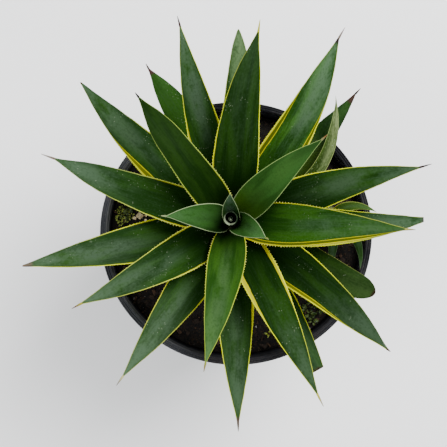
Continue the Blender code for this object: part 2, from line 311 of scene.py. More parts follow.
print("a soft step is ramp, random values are grain, a table is curve_through")

# %% [markdown]
# ## Running a geometry tree
# A tree has named inputs for its sizes. A modifier takes each by the socket's identifier.
# What the tree makes is then copied into a plain mesh, and the modifier is taken away.

# %% New trees, and plain meshes out of them
def new_tree(name, inputs):
    """An empty geometry tree, and a wire for each of its named inputs."""
    kinds = {float: "NodeSocketFloat", int: "NodeSocketInt", tuple: "NodeSocketVector"}
    tree = bpy.data.node_groups.new(name, "GeometryNodeTree")
    tree.interface.new_socket("Geometry", in_out="OUTPUT", socket_type="NodeSocketGeometry")
    for label, value in inputs.items():
        kind = value if isinstance(value, str) else kinds[type(value)]
        socket = tree.interface.new_socket(label, in_out="INPUT", socket_type=kind)
        if not isinstance(value, str):
            socket.default_value = value
    entry = tree.nodes.new("NodeGroupInput")
    return tree, {label: Wire(entry.outputs[label]) for label in inputs}


def end_tree(tree, *geometries):
    """Joins what was made, turns copies into real mesh and ends the tree."""
    joined = add(tree, "GeometryNodeJoinGeometry")
    for geometry in reversed(geometries):
        plug(geometry, joined.socket.node.inputs[0])
    real = add(tree, "GeometryNodeRealizeInstances", {"Geometry": joined})
    leave = tree.nodes.new("NodeGroupOutput")
    plug(real, leave.inputs["Geometry"])


def plain(obj):
    """The object with its modifiers worked out and gone."""
    graph = bpy.context.evaluated_depsgraph_get()
    mesh = bpy.data.meshes.new_from_object(obj.evaluated_get(graph), depsgraph=graph)
    obj.modifiers.clear()
    obj.data = mesh
    mesh.name = obj.name
    return obj


def grow(name, tree, sizes, start=None):
    """Runs a tree with the sizes given, as a plain mesh at the origin."""
    obj = put_in_scene(name, start or bpy.data.meshes.new(name))
    modifier = obj.modifiers.new("grow", "NODES")
    modifier.node_group = tree
    for item in tree.interface.items_tree:
        if item.in_out == "INPUT" and item.name in sizes:
            modifier[item.identifier] = sizes[item.name]
    return plain(obj)


def signed_volume(mesh):
    """Positive where the faces of a closed mesh point outwards."""
    mesh.calc_loop_triangles()
    points = np.array([v.co for v in mesh.vertices])
    corners = points[np.array([t.vertices for t in mesh.loop_triangles])]
    return float(np.linalg.det(corners).sum()) / 6


print("a tree is made with new_tree and end_tree, and run with grow")

# %% [markdown]
# ## The leaf blade
# An agave leaf is a long tapering trough that ends in a hard spine. It could be lofted
# point by point in Python. Here a Geometry Nodes tree bends a ring along a line instead,
# because 38 pieces share the rule and differ only in their sizes. The sizes are the
# tree's inputs, and the same formula as in the solid model puts every point in place.

# %% Blade tree: inputs, and a tube to bend
BLADE_RINGS, RING_POINTS = 84, 40
SPINE_SHARE = 0.1  # share of the rings that the spine gets
blade, size = new_tree("agave_blade", {
    "Foot": (0.0, 0.0, 0.0), "Base": (0.01, 0.0, 0.05), "Tip": (0.15, 0.0, 0.15),
    "Width": 0.04, "Thickness": 0.005, "Azimuth": 0.0, "Bend": 0.0, "Spine": 0.01,
    "Left": 1.0, "Broad base": 0.0, "Fuller": 0.0, "Round end": 0.0, "Ragged end": 0.0,
    "Waviness": 0.0005, "Tooth": 0.001, "Seed": 0.0,
    "Skin": "NodeSocketMaterial", "Tooth skin": "NodeSocketMaterial",
})


def remember(geometry, value, kind="FLOAT"):
    """Keeps a value on the points, and gives the geometry and the value kept."""
    node = geometry.socket.id_data.nodes.new("GeometryNodeCaptureAttribute")
    node.capture_items.new(kind, "kept")
    plug(geometry, node.inputs["Geometry"])
    plug(value, node.inputs["kept"])
    return Wire(node.outputs["Geometry"]), Wire(node.outputs["kept"])


line = add(blade, "GeometryNodeCurvePrimitiveLine")
line = add(blade, "GeometryNodeResampleCurve", {"Curve": line, "Count": BLADE_RINGS})
line, run = remember(line, add(blade, "GeometryNodeSplineParameter"))
ring = add(blade, "GeometryNodeCurvePrimitiveCircle", {"Resolution": RING_POINTS})
ring, round_ring = remember(ring, add(blade, "GeometryNodeSplineParameter"))
tube = add(blade, "GeometryNodeCurveToMesh", {
    "Curve": line, "Profile Curve": ring, "Fill Caps": True,
})
print("tube of", BLADE_RINGS, "rings of", RING_POINTS, "points")

# %% [markdown]
# The midline is a curve with one control point, which lifts the leaf above its chord.
# Two straight steps between its three points find a place on it, and the difference of
# those steps is its heading. Past the end of the blade the same heading carries the spine.

# %% Blade tree: the midline
CLOSER_TO_TIP = 1.3  # power that draws the rings together towards the tip
ONLY_AT_END = 30.0  # power that keeps a ragged edge to the very end
has_spine = maths("GREATER_THAN", size["Spine"], 0.0)
body_end = 1.0 - SPINE_SHARE * has_spine
along = 1.0 - (1.0 - least(run / body_end, 1.0)) ** CLOSER_TO_TIP
spine = most(run - body_end, 0.0) / SPINE_SHARE
chord = size["Tip"] - size["Base"]
control = size["Base"] + chord * BOW_AT + maths("CROSS_PRODUCT", chord, (0.0, 1.0, 0.0)) * BOW
first = between(size["Base"], control, along)
second = between(control, size["Tip"], along)
heading = maths("NORMALIZE", second - first)
length = add(blade, "ShaderNodeVectorMath", {0: chord}, operation="LENGTH").also("Value")
across_cut = maths("COSINE", round_ring * math.tau) * 3.0
ragged = grain(vector(blade, across_cut, 0.0, size["Seed"]), 2.2, 3.0)
reach_out = spine * size["Spine"] + (ragged - 0.5) * size["Ragged end"] * along ** ONLY_AT_END
middle = between(first, second, along) + heading * reach_out
outward, _, upward = parts(heading)
radius, _, height = parts(middle)
print("midline bows by", BOW, "of its chord")

# %% [markdown]
# The blade is widest at a third of its length. Older leaves grasp the crown with a broader
# base. The trough curls as a collar would round the crown, so the young leaves, which
# stand nearly upright, wrap it, and the old ones, which lie down, open out flat.

# %% Blade tree: width, thickness and curl
SPINE_THICK, SPINE_THIN, SPINE_CURL = 2.3 * MM, 0.4 * MM, 200.0
CLOSES_FROM, MOST_WRAP = 0.9, 2.7  # share of the length, and radians round the trough
share = along * size["Left"]
broad = size["Broad base"] * most(1.0 - along / BASE_ENDS_AT, 0.0) ** 2.0
fuller = (share / FULLEST_AT) ** 8.0 * (1.0 - share) / (1.0 - FULLEST_AT) * size["Fuller"]
wide = size["Width"] * (curve_through(share, WIDTH_PROFILE) + broad) * (1.0 + fuller)
closing = most((along - CLOSES_FROM) / 0.1, 0.0) ** 2.0
wide = wide * maths("SQRT", most(1.0 - closing * size["Round end"], 0.01))
thick = size["Thickness"] * curve_through(share, THICKNESS_PROFILE)
on_spine = ramp(spine, 0.0, 0.25)
spine_size = between(SPINE_THIN, SPINE_THICK, (1.0 - spine) ** 0.9)
wide = between(wide, spine_size, on_spine)
thick = between(thick, spine_size, on_spine)
collar = most(CLASP * upward / most(radius, 4.0 * MM), LEAST_CURL / MM)
curl = between(least(collar, MOST_WRAP / wide), SPINE_CURL, on_spine)
bend_radius = 1.0 / curl
print("spine from", round(SPINE_THICK / MM, 1), "to", round(SPINE_THIN / MM, 1), "mm thick")

# %% [markdown]
# Round each ring, the cosine of the angle runs from margin to margin and its sign of sine
# tells the hollow face from the back. The back swells to the leaf's thickness and both
# faces meet in a rounded margin. Two slow random waves keep the margins from looking cut.

# %% Blade tree: the crescent section
SWELL, ROUNDING = 2.2, 6.0  # powers: how full the back is, and how tight the margin's round
RIPPLES, FLUTTERS = 90.0, 22.0  # per metre of the blade
side = maths("COSINE", round_ring * math.tau)
facing = maths("SINE", round_ring * math.tau)
edge = least(EDGE * MM, thick)
swell = edge / 2.0 + (thick - edge) * (1.0 - size_of(side) ** SWELL)
rounding = 1.0 - (1.0 - size_of(facing)) ** ROUNDING
on_back = maths("LESS_THAN", facing, 0.0)
depth = between(edge * -0.5, swell, on_back) * rounding
free = ramp(along, 0.12, 0.4) * (1.0 - on_spine)
waves_at = vector(blade, along * length * RIPPLES, side * 2.0, size["Seed"])
ripple = (grain(waves_at, 1.0, 3.0) - 0.5) * size_of(side) ** 3.0 * side
ripple = ripple * size["Waviness"] * free
slow_at = vector(blade, along * length * FLUTTERS, side * 0.7, size["Seed"] + 9.0)
flutter = (grain(slow_at, 1.0, 1.0) - 0.5) * side * side * size["Waviness"] * 3.0 * free
angle = side * wide / 2.0 / bend_radius
out_to = bend_radius + depth
across = out_to * maths("SINE", angle) + ripple
rise = bend_radius - out_to * maths("COSINE", angle) + flutter
turn = size["Azimuth"] - size["Bend"] * along * along


def set_round_plant(outwards, sideways, up):
    """Turns a point of the leaf's own plane round the plant's axis."""
    point = vector(blade, outwards, sideways, up)
    return add(
        blade, "ShaderNodeVectorRotate", {"Vector": point, "Angle": turn}, rotation_type="Z_AXIS",
    )


place = set_round_plant(radius - upward * rise, across, height + outward * rise) + size["Foot"]
skin = add(blade, "GeometryNodeSetPosition", {"Geometry": tube, "Position": place})
print("blade tree so far:", len(blade.nodes), "nodes")

# %% [markdown]
# Paint needs to know where it is on the leaf: how far along, how near the margin, which
# face, and how far up the spine. The tree stores those on the points, and the material
# reads them, so a yellow margin follows the margin of every leaf however it bends.

# %% Blade tree: marks for the paint
marks = {
    "along": (along, "FLOAT"), "spine": (spine, "FLOAT"), "side": (side, "FLOAT"),
    "face": (1.0 - on_back, "FLOAT"),
    "margin": ((1.0 - size_of(side)) * wide / 2.0, "FLOAT"),
    "fibre": (vector(blade, side * wide / 2.0, along * length, size["Seed"]), "FLOAT_VECTOR"),
}
for label, (value, kind) in marks.items():
    skin = add(
        blade, "GeometryNodeStoreNamedAttribute",
        {"Geometry": skin, "Name": label, "Value": value}, data_type=kind,
    )
skin = add(blade, "GeometryNodeSetShadeSmooth", {"Geometry": skin, "Shade Smooth": True})
print("marks on a leaf:", ", ".join(marks))

# %% [markdown]
# The margins of most leaves carry fine teeth that lean towards the tip. The points of the
# margin make a line, a slim cone with five sides stands at even steps of it, and a random
# size keeps the row from looking like a saw. Young leaves have no teeth to be seen.

# %% Blade tree: small teeth
TOOTH_SPACING = 3.4 * MM
TEETH_FROM, TEETH_TO = 0.16, 0.78
TOOTH_LEAN = 0.35  # how far a tooth leans towards the tip
on_margin = maths("GREATER_THAN", size_of(side), 0.9999)
toothed = maths("GREATER_THAN", along, TEETH_FROM) * maths("LESS_THAN", along, TEETH_TO)
toothed = toothed * on_margin * maths("GREATER_THAN", size["Tooth"], 0.0)
outwards = set_round_plant(
    upward * maths("SINE", angle) * side * -1.0 + outward * TOOTH_LEAN,
    maths("COSINE", angle) * side,
    outward * maths("SINE", angle) * side + upward * TOOTH_LEAN,
)
margins = add(blade, "GeometryNodeMeshToCurve", {"Mesh": skin, "Selection": toothed})
margins = add(
    blade, "GeometryNodeResampleCurve", {"Curve": margins, "Length": TOOTH_SPACING}, mode="LENGTH",
)
tooth = add(blade, "GeometryNodeMeshCone", {
    "Vertices": 5, "Radius Bottom": 0.75, "Radius Top": 0.0, "Depth": 1.5,
})
tooth_size = add(
    blade, "FunctionNodeRandomValue", {"Min": 0.45, "Max": 1.15, "Seed": 4}, data_type="FLOAT",
)
tooth_size = tooth_size * size["Tooth"] * ramp(along, TEETH_FROM, TEETH_TO, 1.0, 0.35)
teeth = add(blade, "GeometryNodeInstanceOnPoints", {
    "Points": margins, "Instance": tooth,
    "Rotation": add(blade, "FunctionNodeAlignRotationToVector", {"Vector": outwards}, axis="Z"),
    "Scale": vector(blade, tooth_size, tooth_size, tooth_size),
})
teeth = add(blade, "GeometryNodeRealizeInstances", {"Geometry": teeth})
end_tree(
    blade,
    add(blade, "GeometryNodeSetMaterial", {"Geometry": skin, "Material": size["Skin"]}),
    add(blade, "GeometryNodeSetMaterial", {"Geometry": teeth, "Material": size["Tooth skin"]}),
)
print("blade tree has", len(blade.nodes), "nodes")

# %% [markdown]
# ## Leaf skin
# A living leaf is green over a paler bloom of wax. Fine fibres run along it, its margins
# are yellow and widest near the base, and each spine dries to its own brown or grey.
# One function mixes all that, and every leaf gets its own mix, because no two match and
# because each mix also holds painted light and shade for the way that leaf faces the light.

# %% Helpers for paint
def new_finish(name, roughness, specular=0.5):
    """A material with its shader, ready for wires."""
    material = bpy.data.materials.new(name)
    material.use_nodes = True
    shader = material.node_tree.nodes["Principled BSDF"]
    shader.inputs["Roughness"].default_value = roughness
    shader.inputs["Specular IOR Level"].default_value = specular
    return material, material.node_tree, shader.inputs


def blend(share, under, over):
    """One colour under another, as far as share covers it."""
    under, over = (c if isinstance(c, Wire) else (*c, 1.0) for c in (under, over))
    return add(
        share.socket.id_data, "ShaderNodeMix", {"Factor": share, "A": under, "B": over},
        data_type="RGBA",
    )


def mark(tree, name, output="Fac"):
    return add(tree, "ShaderNodeAttribute", attribute_name=name).also(output)


def relief(tree, height, distance, strength=1.0):
    """Fine relief that is too small for the mesh."""
    bump = {"Height": height, "Distance": distance, "Strength": strength}
    return add(tree, "ShaderNodeBump", bump)


def on_object(tree):
    """The place of a point on its own piece, in metres."""
    return add(tree, "ShaderNodeTexCoord").also("Object")


def toned(colour, tone):
    return tuple(c * tone for c in colour)


def by_side(side, pair):
    """Two values: the first left of the midrib, looking from foot to tip, the second right."""
    return pair[0] * ramp(side, -0.1, 0.1) + pair[1] * ramp(side, 0.1, -0.1)


print("paint is mixed with blend, ramp and grain")

# %% [markdown]
# The green comes first: dark at the foot, a painted shade of the leaves around it, fresher in
# streaks, and greyed along the middle by wax with a painted sheen. Small dry specks are cells
# of a Voronoi pattern, kept only where a second noise is high, so that they stand in loose
# groups as splashes do.

# %% The green of a leaf
# Noise on the skin: how often it varies per metre, across the leaf and along it
FINE, BROAD = (1000.0, 30.0, 1.0), (110.0, 16.0, 1.0)
CLOUDY, MOTTLED, LOOSE_GROUPS = (50.0, 30.0, 1.0), (620.0, 420.0, 1.0), (70.0, 70.0, 1.0)
SPECK, SPECKS_PER_METRE = (0.16, 0.19, 0.13), 420.0


def leaf_green(look, along, side, face, fibre):
    """The green with its wax and specks, the noises in it, and the colour of the wax."""
    tree = fibre.socket.id_data
    fine = grain(fibre * FINE, 1.0, 2.0)
    broad = grain(fibre * BROAD, 1.0, 3.0)
    cloud = grain(fibre * CLOUDY, 1.0, 4.0, 0.6)
    mottle = grain(fibre * MOTTLED, 1.0, 3.0, 0.6)
    deep, fresh, root, wax = (
        toned(look[part], look["tone"]) for part in ("deep", "fresh", "root", "wax")
    )
    green = blend(ramp(broad, 0.38, 0.62), deep, fresh)
    green = blend(ramp(size_of(side), 0.55, 1.0) * 0.5, green, deep)
    # Painted shade: towards its foot each leaf turns to its root colour, dark where the leaves
    # around it would shade it; on a few leaves that colour is a lighter green instead.
    green = blend(ramp(along, look["foot_shade_to"], look["foot_shade_full"]) * 0.92, green, root)
    # Painted sheen: the band of wax along each leaf lies where its trough would catch the light,
    # and on a few leaves it is shifted onto the half that faces the light.
    reach = ramp(along, 0.45, 0.95, 0.50, 1.7)
    wax_and_sheen_streak = ramp(size_of(side - look["wax_and_sheen_streak"]) / reach, 1.0, 0.1)
    wax_and_sheen = ramp(cloud * 0.65 + broad * 0.25 + mottle * 0.10, 0.36, 0.56) * wax_and_sheen_streak
    wax_and_sheen = wax_and_sheen * ramp(along, look["bloom_from"], look["bloom_from"] + 0.35) * look["bloom_and_sheen"]
    bloom_and_sheen = blend(ramp(along, 0.65, 1.0), wax, toned(wax, look["tip"]))
    green = blend(wax_and_sheen, green, bloom_and_sheen)
    dusted = ramp(mottle, 0.52, 0.70) * ramp(along, 0.15, 0.55) * look["specks"]
    green = blend(dusted * 0.4, green, bloom_and_sheen)
    green = blend(ramp(mottle, 0.50, 0.36) * 0.25, green, toned(deep, 0.6))
    green = blend(ramp(fine, 0.48, 0.70) * 0.16 * ramp(along, 0.1, 0.5), green, bloom_and_sheen)
    cells = {"Vector": fibre, "Scale": SPECKS_PER_METRE, "Randomness": 1.0}
    drop = add(tree, "ShaderNodeTexVoronoi", cells)
    grouped = ramp(grain(fibre * LOOSE_GROUPS, 1.0, 2.0), 0.57, 0.62)
    green = blend(ramp(drop, 0.22, 0.12) * grouped * look["specks"], green, SPECK)
    back = blend(ramp(broad, 0.3, 0.7), wax, fresh)
    return blend((1.0 - face) * 0.6, green, back), fine, broad, cloud, wax


print("greens have noise of", len((FINE, BROAD, CLOUDY, MOTTLED, LOOSE_GROUPS)), "sizes")

# %% [markdown]
# Yellow lies over the green in two parts: a thin line along the very margin, and on older
# leaves a golden band with an olive middle that narrows towards the tip. Dry tips and the
# spine are painted last, since they cover both.

# %% The margins, the dry tip and the spine
YELLOW_RIM, PALE_RIM = (0.56, 0.61, 0.0010), (0.25, 0.32, 0.16)
GOLD_BAND, OLIVE_BAND = (0.42, 0.385, 0.0010), (0.050, 0.064, 0.001)
UNEVEN_EDGE = (30.0, 120.0, 1.0)


def gold_band(look, skin, along, side, margin, fibre):
    """Paints the golden band over a skin, each side with its own width."""
    older = ramp(along, look["band_to"], look["band_to"] - 0.35)
    ragged = (grain(fibre * UNEVEN_EDGE, 1.0, 3.0) - 0.5) * 1.0 * MM
    one_side = by_side(side, look["gold"])
    band_width = one_side * older * MM
    band = ramp(margin + ragged * older - band_width, 0.4 * MM, -0.2 * MM)
    across = (margin + ragged * 0.5) / (band_width + 0.1 * MM)
    middle = ramp(size_of(across - 0.60), 0.38, 0.20) * look["olive"]
    band_paint = blend(middle, GOLD_BAND, OLIVE_BAND)
    return blend(band * ramp(one_side, 0.0, 0.4), skin, band_paint)


def leaf_skin(name, look):
    """The whole finish of one leaf, from a table of its looks."""
    material, tree, shader = new_finish(name, 0.45, 0.035)
    along, side, face = mark(tree, "along"), mark(tree, "side"), mark(tree, "face")
    margin, spine = mark(tree, "margin"), mark(tree, "spine")
    fibre = mark(tree, "fibre", "Vector")
    green, fine, broad, cloud, wax = leaf_green(look, along, side, face, fibre)
    skin = gold_band(look, green, along, side, margin, fibre)
    line_width = look["rim_width"] * MM * ramp(along, 0.50, 1.0, 1.0, 0.45)
    line = ramp(margin - line_width, 0.35 * MM, -0.1 * MM)
    line_paint = blend(ramp(along, 0.1, 0.4), look["foot_rim"], look["rim"])
    faded = ramp(along, 0.35, 0.90) * by_side(side, look["fade"])
    line_paint = blend(faded, line_paint, toned(wax, 1.6))
    skin = blend(line * (1.0 - ramp(spine, 0.0, 0.06)), skin, line_paint)
    tip_dry = ramp(along + (cloud - 0.5) * 0.06, look["dry_from"], look["dry_from"] + 0.02)
    dry = blend(ramp(fine, 0.3, 0.7), look["dry"], toned(look["dry"], 0.45))
    skin = blend(tip_dry, skin, dry)
    horn = blend(ramp(spine, 0.1, 0.8), look["spine"], look["spine_tip"])
    skin = blend(ramp(spine, 0.0, 0.08), skin, horn)
    plug(skin, shader["Base Color"])
    plug(0.40 + cloud * 0.16 + line * 0.12 + tip_dry * 0.2, shader["Roughness"])
    plug(relief(tree, fine * 0.5 + broad, 0.25 * MM, 0.45), shader["Normal"])
    return material


print("leaf skins read the marks: along, side, face, margin, spine, fibre")

# %% [markdown]
# The heart leaves are smooth and blue-grey with a thin whitish rim. The next whorl is the
# freshest green. Further out the green deepens, the bloom with its painted sheen shows along
# the middle, and the yellow margin widens at the base.

# %% Looks by age
HEART = {
    "deep": (0.012, 0.042, 0.006), "fresh": (0.022, 0.072, 0.012), "root": (0.001, 0.004, 0.001),
    "wax": (0.032, 0.074, 0.026), "bloom_and_sheen": 0.5, "rim": PALE_RIM, "rim_width": 0.45,
    "gold": (0.0, 0.0), "specks": 0.0, "foot_shade_to": 0.40, "foot_rim": PALE_RIM, "fade": (0.2, 0.2),
}
FRESH = {
    "deep": (0.009, 0.038, 0.003), "fresh": (0.022, 0.068, 0.006), "root": (0.003, 0.014, 0.001),
    "wax": (0.044, 0.088, 0.032), "bloom_and_sheen": 0.6, "rim": (0.26, 0.32, 0.02), "rim_width": 0.6,
    "gold": (0.4, 0.4), "specks": 0.05, "foot_shade_to": 0.35, "foot_rim": (0.33, 0.37, 0.020),
    "fade": (0.6, 0.6),
}
GROWN = {
    "deep": (0.0035, 0.018, 0.0007), "fresh": (0.010, 0.036, 0.0020),
    "root": (0.002, 0.011, 0.0007), "wax": (0.027, 0.050, 0.026), "bloom_and_sheen": 0.9,
    "rim": YELLOW_RIM, "rim_width": 0.6, "gold": (1.2, 1.2), "specks": 0.5, "foot_shade_to": 0.50,
    "foot_rim": GOLD_BAND, "fade": (0.6, 0.6),
}
BROWN = (0.035, 0.018, 0.007)
COMMON = {
    "dry_from": 1.2, "dry": (0.04, 0.022, 0.010), "wax_and_sheen_streak": 0.0, "band_to": 0.72,
    "bloom_from": 0.30, "tip": 1.35, "olive": 0.6, "foot_shade_full": 0.12,
}
print("whorls: heart, fresh and grown, each with", len(HEART), "looks of its own")

# %% [markdown]
# These tables say what each leaf has for itself. The keys are steps on the spiral. Colours
# are linear, as the shader takes them.

# %% Spines, tones and margins of single leaves
# Colour of each spine where it leaves the leaf, and at its point. The others are brown.
SPINES = {
    0: ((0.24, 0.30, 0.06), (0.30, 0.34, 0.05)),
    1: ((0.16, 0.22, 0.04), (0.20, 0.22, 0.07)),
    2: ((0.13, 0.18, 0.07), (0.18, 0.20, 0.10)),
    3: ((0.16, 0.17, 0.07), (0.17, 0.08, 0.03)),
    4: ((0.14, 0.16, 0.02), (0.14, 0.10, 0.03)),
    5: ((0.008, 0.008, 0.006), (0.008, 0.006, 0.004)),
    6: ((0.26, 0.23, 0.06), (0.20, 0.16, 0.07)),
    7: ((0.20, 0.18, 0.02), (0.06, 0.025, 0.015)),
    8: ((0.30, 0.30, 0.01), (0.34, 0.32, 0.03)),
    9: ((0.30, 0.28, 0.02), (0.16, 0.14, 0.07)),
    10: ((0.10, 0.07, 0.05), (0.14, 0.12, 0.10)),
    11: ((0.03, 0.022, 0.018), (0.02, 0.012, 0.014)),
    12: ((0.30, 0.28, 0.12), (0.12, 0.11, 0.08)),
    13: ((0.035, 0.018, 0.018), (0.03, 0.02, 0.02)),
    15: ((0.10, 0.05, 0.02), BROWN),
    16: ((0.09, 0.07, 0.05), (0.16, 0.12, 0.12)),
    17: (BROWN, (0.05, 0.03, 0.015)),
    24: ((0.05, 0.03, 0.014), BROWN),
    26: ((0.02, 0.010, 0.007), BROWN),
    29: ((0.010, 0.008, 0.006), BROWN),
}
# How light each leaf is beside the others of its whorl: partly its own colour, and partly
# painted light and shade for the way it faces the key window
TONES_AND_SHADE = {
    0: 1.1, 1: 1.7, 2: 0.95, 3: 1.2, 4: 0.86, 5: 0.38, 6: 1.7, 8: 0.8, 9: 0.85, 10: 1.02, 11: 1.05,
    12: 1.12, 14: 0.75, 15: 1.1, 16: 1.55, 17: 0.98, 19: 1.2, 21: 1.1,
}
# Width of the golden band at the foot of a leaf (mm), on each side
GOLD_WIDTHS = {
    5: (0.8, 0.8), 6: (0.5, 4.0), 8: (1.2, 0.6), 9: (2.8, 4.2), 13: (2.4, 3.0), 14: (0.6, 4.0),
    15: (1.8, 1.2), 16: (5.5, 5.0), 17: (2.4, 0.6), 18: (6.0, 1.4), 19: (0.6, 4.2), 21: (2.0, 2.0),
    22: (2.0, 0.6), 24: (0.0, 0.0), 26: (0.0, 0.0), 27: (0.0, 0.0), 29: (0.0, 0.0),
}
# How far the yellow margin fades towards the tip, on each side
FADES = {
    4: (0.3, 0.3), 5: (0.7, 0.4), 6: (0.4, 0.3), 7: (0.4, 0.6), 8: (0.75, 0.1), 9: (0.6, 0.1),
    10: (0.55, 0.95), 11: (0.45, 0.5), 13: (0.7, 0.2), 14: (0.9, 0.15), 15: (0.2, 0.9),
    16: (0.65, 0.65), 17: (0.3, 0.3), 18: (0.75, 1.0), 19: (0.7, 0.7), 21: (0.8, 0.8),
}
print("tables for", len(SPINES), "spines and", len(TONES_AND_SHADE), "tones")

# %% [markdown]
# The last table takes up whatever else a single leaf shows: a drier tip, a bloom that
# starts further out, a painted highlight on one half beside the midrib, painted shade that
# reaches further up from the foot. Words that end in "from", "to" or "full" are places
# along the leaf, 0 at its foot and 1 at its tip. A leaf's look is the look of its whorl with
# its own entries laid over it.

# %% What else is special about single leaves
SPECIAL = {
    0: {"bloom_and_sheen": 1.0, "wax": (0.040, 0.072, 0.042), "bloom_from": 0.1},
    1: {"foot_shade_to": 0.20, "foot_shade_full": 0.0, "root": (0.014, 0.040, 0.010)},
    2: {"foot_shade_to": 0.45},
    3: {
        "rim": (0.22, 0.32, 0.10), "tip": 0.3, "bloom_from": -0.1, "wax": (0.030, 0.080, 0.014),
        "foot_shade_to": 0.48, "foot_shade_full": 0.10, "root": (0.030, 0.070, 0.004),
    },
    4: {"foot_shade_to": 0.22, "foot_shade_full": 0.05, "bloom_from": 0.1},
    5: {"bloom_and_sheen": 0.12, "rim": (0.22, 0.30, 0.04)},
    6: {
        "rim": (0.28, 0.30, 0.004), "bloom_and_sheen": 0.45, "band_to": 1.05, "foot_shade_to": 0.35, "olive": 1.0,
        "tip": 0.8,
    },
    7: {"rim": (0.40, 0.44, 0.04), "foot_shade_to": 0.6, "foot_shade_full": 0.22},
    8: {"bloom_and_sheen": 0.25},
    9: {"bloom_and_sheen": 0.8, "foot_shade_to": 0.6, "bloom_from": 0.45, "olive": 0.2},
    10: {"rim": (0.36, 0.42, 0.05), "foot_shade_to": 0.85, "bloom_from": 0.52, "bloom_and_sheen": 1.0},
    11: {"bloom_and_sheen": 0.7, "foot_shade_to": 0.68, "foot_shade_full": 0.28},
    12: {"rim": (0.45, 0.46, 0.02)},
    13: {"bloom_and_sheen": 1.0},
    14: {"foot_shade_to": 0.7, "bloom_from": 0.5, "band_to": 0.9, "olive": 0.9},
    15: {"dry_from": 0.955, "dry": (0.10, 0.080, 0.055), "bloom_and_sheen": 1.0},
    16: {
        "olive": 1.0, "fresh": (0.016, 0.054, 0.003), "dry_from": 0.97,
        "dry": (0.02, 0.014, 0.012), "wax_and_sheen_streak": -0.15, "band_to": 0.8, "foot_shade_to": 0.6,
        "bloom_from": 0.35,
    },
    17: {
        "olive": 0.2, "dry_from": 0.965, "dry": (0.06, 0.040, 0.030), "foot_shade_to": 0.65,
        "foot_shade_full": 0.25, "bloom_from": 0.35, "bloom_and_sheen": 0.8,
    },
    18: {"band_to": 0.80, "olive": 0.9, "bloom_and_sheen": 0.7},
    19: {"dry_from": 0.985, "dry": (0.05, 0.046, 0.038), "band_to": 0.85},
    21: {"wax": (0.050, 0.085, 0.036), "specks": 1.0},
    22: {"dry_from": 0.985, "dry": (0.03, 0.02, 0.008), "bloom_and_sheen": 0.3},
    # Painted light: leaf 24 is folded, and its band of wax and sheen lies on the lit right half.
    24: {
        "deep": (0.014, 0.032, 0.003), "fresh": (0.034, 0.066, 0.009),
        "root": (0.012, 0.026, 0.002), "wax": (0.115, 0.150, 0.062), "rim": (0.17, 0.21, 0.05),
        "bloom_and_sheen": 1.0, "foot_shade_to": 0.75, "bloom_from": 0.45, "wax_and_sheen_streak": -0.35, "specks": 1.5,
    },
    26: {
        "dry_from": 0.95, "fresh": (0.016, 0.062, 0.003), "deep": (0.008, 0.036, 0.002),
        "bloom_and_sheen": 0.15, "dry": (0.045, 0.020, 0.018), "rim": (0.05, 0.09, 0.01),
    },
    27: {
        "dry_from": 0.975, "dry": (0.02, 0.010, 0.005), "bloom_and_sheen": 0.4, "rim": (0.12, 0.13, 0.02),
        "rim_width": 0.4, "fresh": (0.012, 0.034, 0.003), "deep": (0.005, 0.018, 0.001),
        "wax": (0.022, 0.042, 0.012), "foot_rim": (0.16, 0.17, 0.03),
    },
    29: {
        "root": (0.022, 0.046, 0.005), "foot_shade_to": 0.70, "foot_shade_full": 0.60, "dry_from": 0.93,
        "bloom_and_sheen": 0.2, "rim": (0.05, 0.035, 0.015), "dry": (0.035, 0.020, 0.014),
    },
}


def look_of(step):
    """All looks of the leaf at a step: those of its whorl, then its own."""
    look = {**COMMON, **(HEART if step <= 3 else FRESH if step <= 5 else GROWN)}
    look["spine"], look["spine_tip"] = SPINES.get(step, (BROWN, BROWN))
    look["tone"] = TONES_AND_SHADE.get(step, 1.0)
    look["gold"] = GOLD_WIDTHS.get(step, look["gold"])
    look["fade"] = FADES.get(step, look["fade"])
    return {**look, **SPECIAL.get(step, {})}


print("leaves with looks of their own:", len(SPINES.keys() | TONES_AND_SHADE.keys() | SPECIAL.keys()))

# %% [markdown]
# ## The rosette
# Successive leaves stand a golden angle apart, which is why no leaf hides the one below.
# Every row of the table becomes one leaf on the solid of the same number. These helpers
# hold what the stubs and the heart need as well.

# %% Where a leaf springs, and how it is dressed
YOUNG_THICKNESS, THICKNESS_PER_STEP, MOST_THICKNESS = 3.6, 0.16, 6.5


def crown_at(step):
    """Where on the crown a leaf springs, outwards and up, as a point of its own plane."""
    return (
        (CROWN_TOP_RADIUS + CROWN_SPREAD * step) * MM, 0.0, (CROWN_TOP_Z - CROWN_DROP * step) * MM,
    )


def thickness_at(step):
    return min(YOUNG_THICKNESS + THICKNESS_PER_STEP * step, MOST_THICKNESS) * MM


def broader_base_at(step):
    return min(BROADER_BASE_PER_STEP * step, BROADEST_BASE)


def dress(piece, node):
    """Puts a finished piece in the place of the solid it stands for."""
    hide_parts(node)
    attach(piece, "root")


def finish_mesh(piece, sharp=50.0):
    """Faces outwards, and smooth but for edges sharper than this angle (deg)."""
    if signed_volume(piece.data) < 0:
        piece.data.flip_normals()
    piece.data.set_sharp_from_angle(angle=math.radians(sharp))
    return piece


heart_foot = PLANT_FOOT + Vector((0.0, 0.0, HEART_FOOT_Z * MM))
HEART_TILT = (
    Matrix.Translation(heart_foot) @ Matrix.Rotation(-HEART_LEAN, 4, "Y")
    @ Matrix.Translation(-heart_foot)
)
tooth_horn, tree, shader = new_finish("tooth_horn", 0.5, 0.3)
horn = blend(grain(on_object(tree), 160.0), (0.36, 0.33, 0.05), (0.42, 0.40, 0.14))
plug(horn, shader["Base Color"])
print("leaves are up to", round(thickness_at(29) / MM, 1), "mm thick at the foot")

# %% [markdown]
# The two cut leaves end in a straight, slightly ragged edge, and one of them is torn. The
# seed is tied to the step, so a leaf keeps its own waves when the table around it changes.

